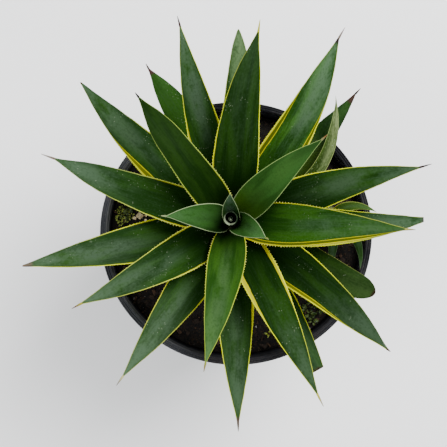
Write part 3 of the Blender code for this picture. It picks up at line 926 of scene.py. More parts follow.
# %% Grow the leaves
TOOTH, SMOOTH_STEPS = 0.9 * MM, (0, 1, 2, 3, 24)
CUT_RAGGED, TORN_RAGGED, TORN_STEP = 0.6 * MM, 5.0 * MM, 22
triangles = 0
for number, leaf in enumerate(LEAVES, start=1):
    step, off, reach, rise_to, width, bend, spine_length = leaf
    left, end = ENDS.get(step, (1.0, "sharp"))
    piece = finish_mesh(grow(f"leaf_blade_{number:02d}", blade, {
        "Foot": tuple(PLANT_FOOT), "Base": crown_at(step), "Tip": (reach * MM, 0.0, rise_to * MM),
        "Width": width * MM, "Thickness": thickness_at(step),
        "Azimuth": math.radians(FIRST_AZIMUTH - GOLDEN_ANGLE * step + off + bend),
        "Bend": math.radians(bend), "Spine": spine_length * MM, "Left": left,
        "Broad base": broader_base_at(step),
        "Fuller": FULLER.get(step, 0.0), "Round end": 1.0 if end == "round" else 0.0,
        "Ragged end": TORN_RAGGED if step == TORN_STEP else CUT_RAGGED if end == "cut" else 0.0,
        "Waviness": (0.2 if step < 4 else 1.0) * MM,
        "Tooth": 0.0 if step in SMOOTH_STEPS else TOOTH, "Seed": 1.7 * step,
        "Skin": leaf_skin(f"leaf_{number:02d}_skin", look_of(step)), "Tooth skin": tooth_horn,
    }))
    triangles += len(piece.data.loop_triangles)
    if step == 0:
        piece.data.transform(HEART_TILT)
    dress(piece, f"leaf_{number:02d}")
print("leaves:", len(LEAVES), "with", triangles, "triangles")

# %% [markdown]
# ## Stubs of trimmed leaves
# Old leaves were cut off close to the crown. Their bases dried to a papery brown and still
# clasp it, hidden under the living ones. They are short runs of the same blade.

# %% Trimmed stubs
TRIMMED_STEPS = (20, 23, 25, 28, 30)
STUB_LENGTH, STUB_WIDTH, STUB_SLOPE, STUB_LEFT = 19.0 * MM, 34.0 * MM, math.radians(24.0), 0.12
STUB_LOOK = dict(
    look_of(20), deep=(0.05, 0.036, 0.012), fresh=(0.08, 0.060, 0.022), root=(0.03, 0.020, 0.007),
    wax=(0.11, 0.085, 0.045), rim=(0.10, 0.07, 0.03), dry_from=0.7, dry=(0.08, 0.052, 0.022),
)
stub_skin = leaf_skin("stub_skin", STUB_LOOK)
for number, step in enumerate(TRIMMED_STEPS, start=1):
    out, _, up = crown_at(step)
    tip = (out + STUB_LENGTH * math.cos(STUB_SLOPE), 0.0, up + STUB_LENGTH * math.sin(STUB_SLOPE))
    dress(finish_mesh(grow(f"trimmed_stub_{number}", blade, {
        "Foot": tuple(PLANT_FOOT), "Base": crown_at(step), "Tip": tip, "Width": STUB_WIDTH,
        "Thickness": thickness_at(step), "Broad base": broader_base_at(step),
        "Azimuth": math.radians(FIRST_AZIMUTH - GOLDEN_ANGLE * step), "Bend": 0.0, "Spine": 0.0,
        "Left": STUB_LEFT, "Ragged end": 3.0 * MM, "Waviness": 0.6 * MM, "Tooth": 0.0,
        "Seed": 3.1 * step, "Skin": stub_skin, "Tooth skin": tooth_horn,
    })), f"trimmed_leaf_{number}")
print("stubs:", len(TRIMMED_STEPS))

# %% [markdown]
# ## The heart
# The youngest leaves are still rolled round each other in a spear. From above it is a pale
# edge round a dark hollow, with the tip of the next leaf deep inside. A cone would look like
# a plug, so two strips with a real thickness are wound here, one inside the other.

# %% Rolled heart leaf
BUD_ROUND, BUD_LEVELS, BUD_WALL, BUD_CORE, BUD_TALL = 96, 40, 1.0 * MM, 0.12 * MM, 82.0 * MM
# The rim is thick on one side, where it is also painted pale as if lit, dips near there, and
# rises to the leaf's own point
THICK_LIT_SIDE, LOW_SIDE, POINT_SIDE = 235.0, 225.0, 70.0
RIM_SLANT, RIM_POINT, POINT_SHARP = 3.4, 5.0, 8
BUD_PROFILE = (
    (58.8, 3.7), (66, 4.2), (80, 4.4), (96, 4.9), (112, 5.5), (127, 6.2), (136, 6.5), (142, 6.3),
)
# Each roll: turns, first angle (deg), share of the bud's radius and rim height at its first
# edge, and the same at its last edge
ROLLS = ((1.16, 205.0, 0.90, 139.0, 1.0, 141.5), (1.7, 60.0, 0.10, 142.0, 0.42, 134.0))


def bud_radius(level):
    heights, radii = zip(*BUD_PROFILE)
    return float(np.interp(level, heights, radii))


def towards(turn, side):
    """1 on the side named (deg), 0 a quarter turn away and beyond."""
    return max(0.0, math.cos(turn - math.radians(side)))


def roll_point(roll, share, level_share, outside):
    """A point of a rolled leaf: share round it, level_share up it."""
    turns, first, spread_0, rim_0, spread_1, rim_1 = roll
    turn = math.tau * turns * share + math.radians(first)
    slant = RIM_SLANT * math.cos(turn - math.radians(LOW_SIDE)) * spread_1
    rim = rim_0 + (rim_1 - rim_0) * share - slant
    rim += RIM_POINT * towards(turn, POINT_SIDE) ** POINT_SHARP * spread_1
    level = BUD_PROFILE[0][0] + (rim - BUD_PROFILE[0][0]) * level_share
    spread = spread_0 + (spread_1 - spread_0) * share
    wall = BUD_WALL * min(1.0, 0.5 + spread / 2) * (0.7 + 0.9 * towards(turn, THICK_LIT_SIDE))
    reach = max(bud_radius(level) * spread * MM - (0 if outside else wall), BUD_CORE)
    return (reach * math.cos(turn), reach * math.sin(turn), level * MM)


print("the bud is", bud_radius(BUD_PROFILE[-1][0]), "mm in radius at its rim")

# %% [markdown]
# Each strip is wound as two skins of points, outer and inner. Faces join the rows of each
# skin, and a narrow band of faces closes the rim, the foot and the two edges, so that the
# strip is a closed body. It carries its own marks for the paint.


# %% Wind the rolls
def add_roll(shape, roll):
    """Winds a strip with a real thickness, its outer skin first."""
    marks = shape.verts.layers.float
    skins = []
    for outside in (True, False):
        rows = []
        for i in range(BUD_ROUND + 1):
            turn = math.tau * roll[0] * i / BUD_ROUND + math.radians(roll[1])
            row = []
            for j in range(BUD_LEVELS + 1):
                up = (j / BUD_LEVELS) ** 0.7
                vert = shape.verts.new(roll_point(roll, i / BUD_ROUND, up, outside))
                vert[marks["margin"]] = (1.0 - up) * BUD_TALL
                vert[marks["inside"]] = 0.0 if outside else 1.0
                # Painted light: this mark is highest where the roll's inner face looks towards the
                # light
                vert[marks["pale"]] = towards(turn, THICK_LIT_SIDE) ** 0.7
                row.append(vert)
            rows.append(row)
        skins.append(rows)
    for rows, turned in zip(skins, (False, True)):
        for i in range(BUD_ROUND):
            for j in range(BUD_LEVELS):
                corners = [rows[i][j], rows[i + 1][j], rows[i + 1][j + 1], rows[i][j + 1]]
                shape.faces.new(corners[::-1] if turned else corners)
    out, back = skins
    for i in range(BUD_ROUND):
        shape.faces.new((out[i + 1][0], out[i][0], back[i][0], back[i + 1][0]))
        shape.faces.new((out[i][-1], out[i + 1][-1], back[i + 1][-1], back[i][-1]))
    for j in range(BUD_LEVELS):
        shape.faces.new((out[0][j], out[0][j + 1], back[0][j + 1], back[0][j]))
        shape.faces.new((out[-1][j + 1], out[-1][j], back[-1][j], back[-1][j + 1]))


def mesh_from(shape, name):
    """A plain mesh out of a shape made point by point."""
    mesh = bpy.data.meshes.new(name)
    shape.to_mesh(mesh)
    shape.free()
    return mesh


shape = bmesh.new()
for label in ("margin", "inside", "pale"):
    shape.verts.layers.float.new(label)
for roll in ROLLS:
    add_roll(shape, roll)
bmesh.ops.recalc_face_normals(shape, faces=shape.faces)
heart_mesh = mesh_from(shape, "heart_roll")
heart_mesh.transform(HEART_TILT @ Matrix.Translation(PLANT_FOOT))
heart_mesh.shade_smooth()
heart = put_in_scene("heart_roll", heart_mesh)
print("heart rolled of", len(ROLLS), "leaves")

# %% [markdown]
# The inner skin of the roll is nearly black, because no light reaches down it. Its rim and
# the first few millimetres below it carry painted light on the side whose inner face looks
# towards the key window, which is also the side where the leaf's edge is thick.

# %% Skin of the heart
LIT_BUD_RIM = (0.15, 0.18, 0.11)
bud_skin, tree, shader = new_finish("heart_skin", 0.5, 0.1)
fibre = grain(on_object(tree) * (900.0, 900.0, 30.0), 1.0)
striped = ramp(fibre, 0.3, 0.7)
below_rim, inside, pale = (mark(tree, label) for label in ("margin", "inside", "pale"))
inner_green = blend(striped, (0.003, 0.008, 0.003), (0.010, 0.020, 0.008))
outer_green = blend(striped, (0.010, 0.036, 0.008), (0.022, 0.062, 0.016))
lit_green = blend(striped, (0.11, 0.135, 0.08), LIT_BUD_RIM)
outer = (1.0 - inside) * ramp(below_rim, 1.0 * MM, 5.0 * MM)
skin = blend(outer, inner_green, outer_green)
# Painted light on the inner face below the rim, and a painted highlight along the rim itself
skin = blend(inside * pale * ramp(below_rim, 9.0 * MM, 1.0 * MM), skin, lit_green)
skin = blend(ramp(below_rim, 0.7 * MM, 0.2 * MM) * (pale * 0.88 + 0.04), skin, LIT_BUD_RIM)
plug(skin, shader["Base Color"])
plug(relief(tree, fibre, 0.15 * MM, 0.5), shader["Normal"])
heart.data.materials.append(bud_skin)
dress(finish_mesh(heart), "heart_bud")
print("heart dressed")

# %% [markdown]
# ## The crown
# The crown is a fleshy cone ringed by scars where leaves came away. Leaves hide nearly all
# of it, so the solid stays, and the skin alone shows the rings.

# %% Crown and offset stems
def ringed_flesh(name, pale, dark, ring_height):
    material, tree, shader = new_finish(name, 0.62, 0.3)
    place_on = on_object(tree)
    rough = grain(place_on, 240.0, 4.0, 0.6)
    _, _, level = parts(place_on)
    rings = maths("SINE", (level + rough * 1.5 * MM) * (math.tau / ring_height)) * 0.5 + 0.5
    plug(blend(rings * 0.6 + rough * 0.4, dark, pale), shader["Base Color"])
    plug(relief(tree, rings + rough, 0.4 * MM, 0.7), shader["Normal"])
    return material


def refinish(node, material):
    """Puts a finish on a solid that stays."""
    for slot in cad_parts[node].material_slots:
        slot.material = material


CROWN_FLESH = ringed_flesh("crown_flesh", (0.050, 0.056, 0.018), (0.014, 0.013, 0.005), 3.4 * MM)
PUP_FLESH = ringed_flesh("offset_flesh", (0.13, 0.16, 0.05), (0.05, 0.06, 0.02), 2.0 * MM)
refinish("crown_stem", CROWN_FLESH)
refinish("pup_stem", PUP_FLESH)
print("crown_stem and pup_stem keep their solids")

# %% [markdown]
# ## The offset
# Agaves send up young plants at their foot. This one has four narrow leaves of its own,
# made by the same blade on its own foot, with a lighter green and a thin yellow rim.

# %% Leaves of the offset
# azimuth (deg), reach, rise, width (mm), bend (deg)
PUP_LEAVES = (
    (-1, 43, 34, 10, 25), (-66, 64, 34, 12, 26), (-95, 60, 24, 12, 10), (150, 30, 30, 10, 0),
)
PUP_THICKNESS = 2.2 * MM
pup_low, pup_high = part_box("pup_stem")
PUP_FOOT = Vector(((pup_low.x + pup_high.x) / 2, (pup_low.y + pup_high.y) / 2, SOIL_Z))
PUP_LOOK = dict(look_of(17), gold=(0.0, 0.0), rim_width=0.3, rim=(0.06, 0.09, 0.04), tone=1.2)
LIGHT_PUP_LOOK = dict(
    look_of(4), fresh=(0.040, 0.085, 0.010), deep=(0.020, 0.050, 0.006),
    root=(0.035, 0.055, 0.008), gold=(0.0, 0.0), rim=(0.26, 0.32, 0.06),
    foot_rim=(0.30, 0.30, 0.02), rim_width=0.4, tone=1.2,
)
for number, (azimuth, reach, rise_to, width, bend) in enumerate(PUP_LEAVES, start=1):
    look = LIGHT_PUP_LOOK if number == 1 else PUP_LOOK
    springs_at = ((3.2 + 0.9 * number) * MM, 0.0, (12.5 - 1.9 * number) * MM)
    dress(finish_mesh(grow(f"offset_blade_{number}", blade, {
        "Foot": tuple(PUP_FOOT), "Base": springs_at, "Tip": (reach * MM, 0.0, rise_to * MM),
        "Width": width * MM, "Thickness": PUP_THICKNESS,
        "Azimuth": math.radians(azimuth + bend), "Bend": math.radians(bend), "Spine": 0.0,
        "Left": 1.0, "Round end": 0.8, "Waviness": 0.3 * MM, "Tooth": 0.0, "Seed": 40.0 + number,
        "Skin": leaf_skin(f"offset_{number}_skin", look), "Tooth skin": tooth_horn,
    })), f"pup_leaf_{number}")
print("offset at", tuple(round(v, 4) for v in PUP_FOOT))

# %% [markdown]
# ## The pot
# A nursery pot is blow-moulded or injected polythene: a tapered wall, a shoulder where
# pots stack, a straight band, and a ridged lip. It is a body of revolution squeezed a
# little out of round, so a profile is turned with the Screw modifier and then narrowed.

# %% Sizes of the pot, and a way to turn it
POT_HEIGHT, RIM_RADIUS, POT_OVAL, WALL = 240.0, 137.5, 0.967, 2.2
FOOT_RADIUS, SHOULDER_RADIUS, SHOULDER_Z = 104.0, 127.4, 209.0
BAND_RADIUS, BAND_Z, BAND_TOP_RADIUS, LIP_UNDER_Z = 130.6, 211.5, 133.2, 232.6
FLOOR_Z, PAD_RADIUS, FOOT_RING, UNDERSIDE_LIFT = 6.5, 30.0, 14.0, 4.0
RIDGES, RIDGE_DEPTH, RIDGE_POINTS, ROUND_STEPS = 3, 1.0, 18, 224
SQUEEZE = Matrix.Diagonal((1.0, POT_OVAL, 1.0, 1.0))


def rounded(points, radius, steps=3):
    """A profile with each corner cut to a small arc."""
    points = [Vector(p) for p in points]
    made = [points[0]]
    for before, corner, after in zip(points, points[1:], points[2:]):
        reach = min(radius, (before - corner).length / 2.2, (after - corner).length / 2.2)
        start = corner + (before - corner).normalized() * reach
        end = corner + (after - corner).normalized() * reach
        for k in range(steps + 1):
            t = k / steps
            made.append((1 - t) ** 2 * start + 2 * t * (1 - t) * corner + t * t * end)
    return [tuple(p) for p in (*made, points[-1])]


def lip_top():
    """The ridged top of the lip, from its inner edge to its outer edge."""
    inner = BAND_TOP_RADIUS - WALL
    points = []
    for k in range(RIDGE_POINTS + 1):
        t = k / RIDGE_POINTS
        wave = 0.5 - 0.5 * math.cos(math.tau * RIDGES * t)
        points.append((inner + (RIM_RADIUS - inner) * t, POT_HEIGHT - RIDGE_DEPTH * (1 - wave)))
    return points


def turned_on_axis(name, profile, steps):
    """A profile of (radius, height) in millimetres turned about Z and squeezed like the pot."""
    mesh = bpy.data.meshes.new(name)
    line_up = [(k, k + 1) for k in range(len(profile) - 1)]
    mesh.from_pydata([(r * MM, 0.0, z * MM) for r, z in profile], line_up, [])
    obj = put_in_scene(name, mesh)
    screw = obj.modifiers.new("turn", "SCREW")
    screw.axis, screw.angle = "Z", math.tau
    screw.steps = screw.render_steps = steps
    screw.use_merge_vertices, screw.merge_threshold = True, 0.00001
    screw.use_smooth_shade = True
    plain(obj)
    obj.data.transform(SQUEEZE)
    return obj


print("lip with", RIDGES, "ridges,", RIDGE_DEPTH, "mm deep")

# %% [markdown]
# The profile runs from the middle of the floor up the inside of the wall, over the lip and
# down the outside to the middle of the underside. The pot stands on a foot ring and a pad.

# %% Turn the pot
inner_wall = [
    (0.0, FLOOR_Z), (FOOT_RADIUS - 6.0, FLOOR_Z), (FOOT_RADIUS - WALL + 0.1, FLOOR_Z + 2.5),
    (SHOULDER_RADIUS - WALL, SHOULDER_Z + 0.5), (BAND_RADIUS - WALL, BAND_Z + 0.5),
    (BAND_TOP_RADIUS - WALL, LIP_UNDER_Z + 1.0),
    (BAND_TOP_RADIUS - WALL, POT_HEIGHT - RIDGE_DEPTH - 0.5),
]
outer_wall = [
    (RIM_RADIUS, POT_HEIGHT - 2.0), (RIM_RADIUS, LIP_UNDER_Z + 0.9),
    (RIM_RADIUS - 1.3, LIP_UNDER_Z), (BAND_TOP_RADIUS, LIP_UNDER_Z),
    (BAND_RADIUS, BAND_Z), (SHOULDER_RADIUS, SHOULDER_Z),
    (FOOT_RADIUS, 4.0), (FOOT_RADIUS - 2.0, 0.0), (FOOT_RADIUS - FOOT_RING, 0.0),
    (FOOT_RADIUS - FOOT_RING - 3.0, UNDERSIDE_LIFT), (PAD_RADIUS + 3.0, UNDERSIDE_LIFT),
    (PAD_RADIUS, 0.0), (0.0, 0.0),
]
pot_profile = rounded(inner_wall, 1.0) + lip_top()[1:-1] + rounded(outer_wall, 1.0)
pot = turned_on_axis("nursery_pot", pot_profile, ROUND_STEPS)
print("pot profile of", len(pot_profile), "points")

# %% [markdown]
# Drain holes ring the foot of the wall. Each is cut by a round bar that points outwards.

# %% Drain holes
DRAIN_COUNT, DRAIN_RADIUS, DRAIN_Z, DRAIN_DEPTH = 8, 6.5 * MM, 15.5 * MM, 24 * MM
bars = bmesh.new()
lay = Matrix.Rotation(math.pi / 2, 4, "Y")
out_to_wall = Matrix.Translation((FOOT_RADIUS * MM, 0.0, DRAIN_Z))
for k in range(DRAIN_COUNT):
    turn_to = Matrix.Rotation(math.tau * (k + 0.5) / DRAIN_COUNT, 4, "Z")
    bmesh.ops.create_cone(
        bars, cap_ends=True, segments=32, radius1=DRAIN_RADIUS, radius2=DRAIN_RADIUS,
        depth=DRAIN_DEPTH, matrix=SQUEEZE @ turn_to @ out_to_wall @ lay,
    )
drain_bars = put_in_scene("drain_bars", mesh_from(bars, "drain_bars"))
drains = pot.modifiers.new("drains", "BOOLEAN")
drains.operation, drains.solver, drains.object = "DIFFERENCE", "EXACT", drain_bars
pot.modifiers.new("weld", "WELD").merge_threshold = 0.002 * MM
plain(pot)
bpy.data.objects.remove(drain_bars)
finish_mesh(pot, 40.0)
print("pot has", len(pot.data.polygons), "faces,", round(signed_volume(pot.data) * 1e6), "cm3")

# %% [markdown]
# Polythene is black with a satin sheen. Handling leaves fine scuffs round it, and dust and
# splashes of dried mix settle low on the wall and in the grooves of the lip. Painted light
# makes the west side of the lip and of the inner wall a paler grey, and painted highlights
# run along the crests of the lip's ridges.

# %% Pot plastic
LIP_FROM, LIP_TO = (LIP_UNDER_Z - 0.1) * MM, (POT_HEIGHT - 2.5) * MM
INSIDE_FROM, INSIDE_TO = (BAND_TOP_RADIUS - 1.4) * MM, (BAND_TOP_RADIUS - 2.0) * MM
HOOPS_FROM, HOOPS_TO = SOIL_Z, SOIL_Z + 4.0 * MM
CREST_PITCH, HOOP_PITCH = 2.4 * MM, 6.5 * MM
BLACK, BLACK_WORN = (0.007, 0.007, 0.009), (0.014, 0.014, 0.017)
# The lip, inner-wall and crest colours below are painted light, paler on the west side
LIP_BLACK, LIP_LIT_WEST = (0.010, 0.010, 0.012), (0.046, 0.049, 0.052)
HOOP_LIT_EAST, HOOP_LIT_WEST = (0.060, 0.062, 0.070), (0.23, 0.235, 0.23)
CREST_HIGHLIGHT, SCUFFED, SPLASHED = (0.082, 0.087, 0.096), (0.045, 0.045, 0.053), (0.16, 0.16, 0.17)
DUST = (0.07, 0.055, 0.042)


def waves(value, pitch):
    """From 0 to 1 and back in every pitch."""
    return maths("COSINE", value * (math.tau / pitch)) * 0.5 + 0.5


pot_plastic, tree, shader = new_finish("pot_polythene", 0.40, 0.12)
place_on = on_object(tree)
out_x, out_y, level = parts(place_on)
out_y = out_y / POT_OVAL
from_axis = (out_x * out_x + out_y * out_y) ** 0.5
patches = grain(place_on, 18.0, 5.0, 0.6)
scuffs = grain(place_on * (60.0, 60.0, 900.0), 1.0, 3.0, 0.6)
specks = grain(place_on, 420.0, 3.0, 0.7)
plastic = blend(ramp(patches, 0.35, 0.7), BLACK, BLACK_WORN)
crest = waves(from_axis - BAND_TOP_RADIUS * MM, CREST_PITCH)
on_lip = ramp(level, LIP_FROM, LIP_TO)
# Painted light: the west side of the lip is paler, as if lit from there
lit_west = ramp(out_x, 0.0, -0.12)
plastic = blend(on_lip * 0.6, plastic, blend(lit_west, LIP_BLACK, LIP_LIT_WEST))
# Painted highlight along the crests of the lip's ridges, stronger on the painted lit side
crest_highlight = crest * on_lip * ramp(patches, 0.3, 0.6) * between(0.35, 1.0, lit_west)
plastic = blend(crest_highlight * 0.75, plastic, CREST_HIGHLIGHT)
# Painted light: bands on the inner wall between the soil and the lip, as its ridges would catch the
# light, paler on the west side
hoop_light = waves(level + patches * 1.0 * MM, HOOP_PITCH)
within = ramp(from_axis, INSIDE_FROM, INSIDE_TO) * ramp(level, HOOPS_FROM, HOOPS_TO)
plastic = blend(hoop_light * within * 0.8, plastic, blend(lit_west, HOOP_LIT_EAST, HOOP_LIT_WEST))
plastic = blend(ramp(scuffs, 0.62, 0.78) * 0.30, plastic, SCUFFED)
plastic = blend(ramp(specks, 0.66, 0.74) * on_lip * 0.7, plastic, SPLASHED)
dusty = ramp(level, 60 * MM, 0.0) * 0.5 + ramp(level, 226 * MM, 236 * MM) * 0.25
plastic = blend(ramp(patches * 0.5 + specks * 0.5, 0.46, 0.66) * dusty, plastic, DUST)
plug(plastic, shader["Base Color"])
plug(0.28 + patches * 0.22 + ramp(scuffs, 0.6, 0.8) * 0.15, shader["Roughness"])
plug(relief(tree, scuffs * 0.6 + specks * 0.4, 0.15 * MM, 0.5), shader["Normal"])
pot.data.materials.clear()
pot.data.materials.append(pot_plastic)
dress(pot, "pot")
print("pot plastic mixes", len(tree.nodes), "nodes")

# %% [markdown]
# ## The soil
# The mix fills the pot to a finger below the lip. Its surface is uneven, so a fine turned
# surface is pushed up and down by noise before anything is strewn on it.

# %% Soil bed
SOIL_CROWN, SOIL_EDGE_DROP = 1.5, 4.0
soil_top = SOIL_Z / MM
wall_in = BAND_RADIUS - WALL - GAP / MM
shelf = [(0.0, soil_top), (52.0, soil_top), (66.0, soil_top + SOIL_CROWN), (90.0, soil_top - 0.5)]
shelf += [(111.0, soil_top - 0.5), (wall_in - 1.2, soil_top - SOIL_EDGE_DROP)]
top_profile = []
for (r0, z0), (r1, z1) in zip(shelf, shelf[1:]):
    cuts = max(1, round((r1 - r0) / 2.2))
    top_profile += [(r0 + (r1 - r0) * k / cuts, z0 + (z1 - z0) * k / cuts) for k in range(cuts)]
bed_profile = top_profile + [
    (wall_in - 1.2, soil_top - SOIL_EDGE_DROP), (wall_in, soil_top - SOIL_EDGE_DROP - 1.2),
    (wall_in, BAND_Z + 0.9), (SHOULDER_RADIUS - WALL - 0.35, SHOULDER_Z + 0.8),
    (FOOT_RADIUS - WALL - 0.25, FLOOR_Z + 2.8),
    (FOOT_RADIUS - 6.1, FLOOR_Z + 0.35), (0.0, FLOOR_Z + 0.35),
]
bed = turned_on_axis("potting_mix", bed_profile, 200)
UNEVEN, LUMPS = 1.6 * MM, 0.8 * MM
for vert in bed.data.vertices:
    inside_wall = (wall_in - 2.0) * MM - math.hypot(vert.co.x, vert.co.y / POT_OVAL)
    if vert.co.z > (soil_top - 5.0) * MM and inside_wall > 0:
        push = UNEVEN * noise.noise(vert.co * 45.0) + LUMPS * noise.noise(vert.co * 260.0)
        vert.co.z += push * min(1.0, inside_wall / (6.0 * MM))
print("soil bed:", len(bed.data.vertices), "points")

# %% [markdown]
# ## What lies on the soil
# Bark chips, crumbs, brown bits, white perlite and a little moss lie on it in hundreds.
# A single Geometry Nodes tree strews them: points spread over the upward side of the bed,
# or over one patch of it, and a lump on each, stretched, turned and crumpled at random, so
# that no two keep the same shape.

# %% Litter tree: points on the bed
litter, size = new_tree("litter", {
    "Bed": "NodeSocketGeometry", "Apart": 0.004, "Thickly": 9000.0,
    "Smallest": 0.003, "Largest": 0.009, "Narrow": 0.6, "Flat": 0.35, "Tilt": 0.5,
    "Crumple": 0.002, "Angular": 0.0, "Sink": 0.0003,
    "Patch": (0.0, 0.0, 0.0), "Patch radius": 1.0, "Seed": 1, "Finish": "NodeSocketMaterial",
})
LEAST_UPWARD, BED_EDGE_Z = 0.4, SOIL_Z - 5.5 * MM
facing = add(litter, "GeometryNodeInputNormal")
where = add(litter, "GeometryNodeInputPosition")
up_facing = maths("GREATER_THAN", parts(facing)[2], LEAST_UPWARD)
on_top = maths("GREATER_THAN", parts(where)[2], BED_EDGE_Z)
from_patch = add(
    litter, "ShaderNodeVectorMath", {0: where, 1: size["Patch"]}, operation="DISTANCE",
).also("Value")
thinning = ramp(from_patch / size["Patch radius"] + grain(where, 90.0) * 0.5, 1.25, 0.85)
points = add(litter, "GeometryNodeDistributePointsOnFaces", {
    "Mesh": size["Bed"], "Selection": up_facing * on_top, "Distance Min": size["Apart"],
    "Density Max": size["Thickly"], "Density Factor": thinning, "Seed": size["Seed"],
}, distribute_method="POISSON")
print("points spread over", bed.name)

# %% [markdown]
# On each point stands a round lump or a square block. Three random values stretch it and
# three more turn it, and the noise comes last, on the real mesh.


# %% Litter tree: lumps on the points
def chance(low, high, seed):
    """A random value for each lump."""
    return add(litter, "FunctionNodeRandomValue", {
        "Min": low, "Max": high, "Seed": size["Seed"] + seed,
    }, data_type="FLOAT")


lump = add(litter, "GeometryNodeMeshIcoSphere", {"Radius": 0.5, "Subdivisions": 1})
block = add(litter, "GeometryNodeMeshCube", {
    "Size": (0.9, 0.9, 0.9), "Vertices X": 3, "Vertices Y": 2, "Vertices Z": 2,
})
shape_of = add(litter, "GeometryNodeSwitch", {
    "Switch": maths("GREATER_THAN", size["Angular"], 0.5), "False": lump, "True": block,
}, input_type="GEOMETRY")
long_side = between(size["Smallest"], size["Largest"], chance(0.0, 1.0, 11) ** 2.0)
stretch = vector(
    litter, long_side, long_side * between(size["Narrow"], 1.0, chance(0.0, 1.0, 12)),
    long_side * size["Flat"] * chance(0.6, 1.3, 13),
)
spin = vector(
    litter, size["Tilt"] * chance(-1.0, 1.0, 14), size["Tilt"] * chance(-1.0, 1.0, 15),
    chance(0.0, math.tau, 16),
)
strewn = add(litter, "GeometryNodeInstanceOnPoints", {
    "Points": points, "Instance": shape_of, "Scale": stretch,
    "Rotation": add(litter, "FunctionNodeEulerToRotation", {"Euler": spin}),
})
strewn = add(litter, "GeometryNodeRealizeInstances", {"Geometry": strewn})
CRUMPLES_PER_METRE = 260.0
crumpled = add(litter, "ShaderNodeTexNoise", {
    "Vector": where, "Scale": CRUMPLES_PER_METRE, "Detail": 1.0,
}).also("Color")
shifted = (crumpled - (0.5, 0.5, 0.5)) * size["Crumple"] - vector(litter, 0.0, 0.0, size["Sink"])
strewn = add(litter, "GeometryNodeSetPosition", {"Geometry": strewn, "Offset": shifted})
finished = {"Geometry": strewn, "Material": size["Finish"]}
end_tree(litter, add(litter, "GeometryNodeSetMaterial", finished))
print("litter tree has", len(litter.nodes), "nodes")

# %% [markdown]
# Peat and bark are nearly black when damp, crumbs show a few warm flecks, perlite is a
# greyed white and moss a fresh yellow green. Each has three colours: the second lies on the
# first in patches, the third only on the highest spots of a fine noise.

# %% Finishes for the mix
FLECKS_PER_METRE = 900.0


def mottled(name, colours, scale, roughness, bump):
    """An earthy finish of three colours, patch by patch."""
    material, tree, shader = new_finish(name, roughness, 0.25)
    place_on = on_object(tree)
    patches = grain(place_on, scale, 3.0, 0.6)
    fine = grain(place_on, FLECKS_PER_METRE, 3.0, 0.65)
    colour = blend(ramp(patches, 0.38, 0.52), colours[0], colours[1])
    colour = blend(ramp(fine * 0.6 + patches * 0.4, 0.52, 0.7), colour, colours[2])
    plug(colour, shader["Base Color"])
    plug(relief(tree, fine, bump, 0.8), shader["Normal"])
    return material


# three colours, patches per metre, roughness, relief (mm)
MIX = {
    "potting_mix": (((0.002, 0.002, 0.002), (0.006, 0.004, 0.003), (0.020, 0.013, 0.008)),
                    260.0, 0.92, 0.6),
    "bark": (((0.006, 0.004, 0.003), (0.018, 0.011, 0.007), (0.050, 0.030, 0.018)),
             110.0, 0.85, 0.4),
    "crumb": (((0.003, 0.002, 0.002), (0.020, 0.011, 0.005), (0.12, 0.070, 0.030)),
              420.0, 0.92, 0.3),
    "perlite": (((0.15, 0.14, 0.13), (0.20, 0.19, 0.18), (0.10, 0.10, 0.09)),
                200.0, 0.85, 0.2),
    "brown_bit": (((0.014, 0.007, 0.004), (0.045, 0.022, 0.011), (0.11, 0.075, 0.045)),
                  300.0, 0.85, 0.2),
    "moss": (((0.075, 0.100, 0.010), (0.26, 0.32, 0.050), (0.48, 0.54, 0.22)),
             380.0, 0.9, 0.3),
    "pale_chip": (((0.40, 0.29, 0.12), (0.58, 0.48, 0.28), (0.16, 0.06, 0.02)),
                  260.0, 0.8, 0.3),
}
skins = {
    kind: mottled(f"{kind}_skin", colours, scale, roughness, bump * MM)
    for kind, (colours, scale, roughness, bump) in MIX.items()
}
bed.data.materials.clear()
bed.data.materials.append(skins["potting_mix"])
dress(finish_mesh(bed, 60.0), "soil")
print("finishes for the mix:", ", ".join(skins))

# %% [markdown]
# Dark chips and crumbs lie everywhere, perlite and thin brown bits are scattered wide, and
# the moss and the pale chips keep to one small place by the wall. Lengths are in metres.
# "Thickly" is how many lumps a square metre would hold if none kept its distance, and
# "Narrow" and "Flat" are shares of a lump's length.

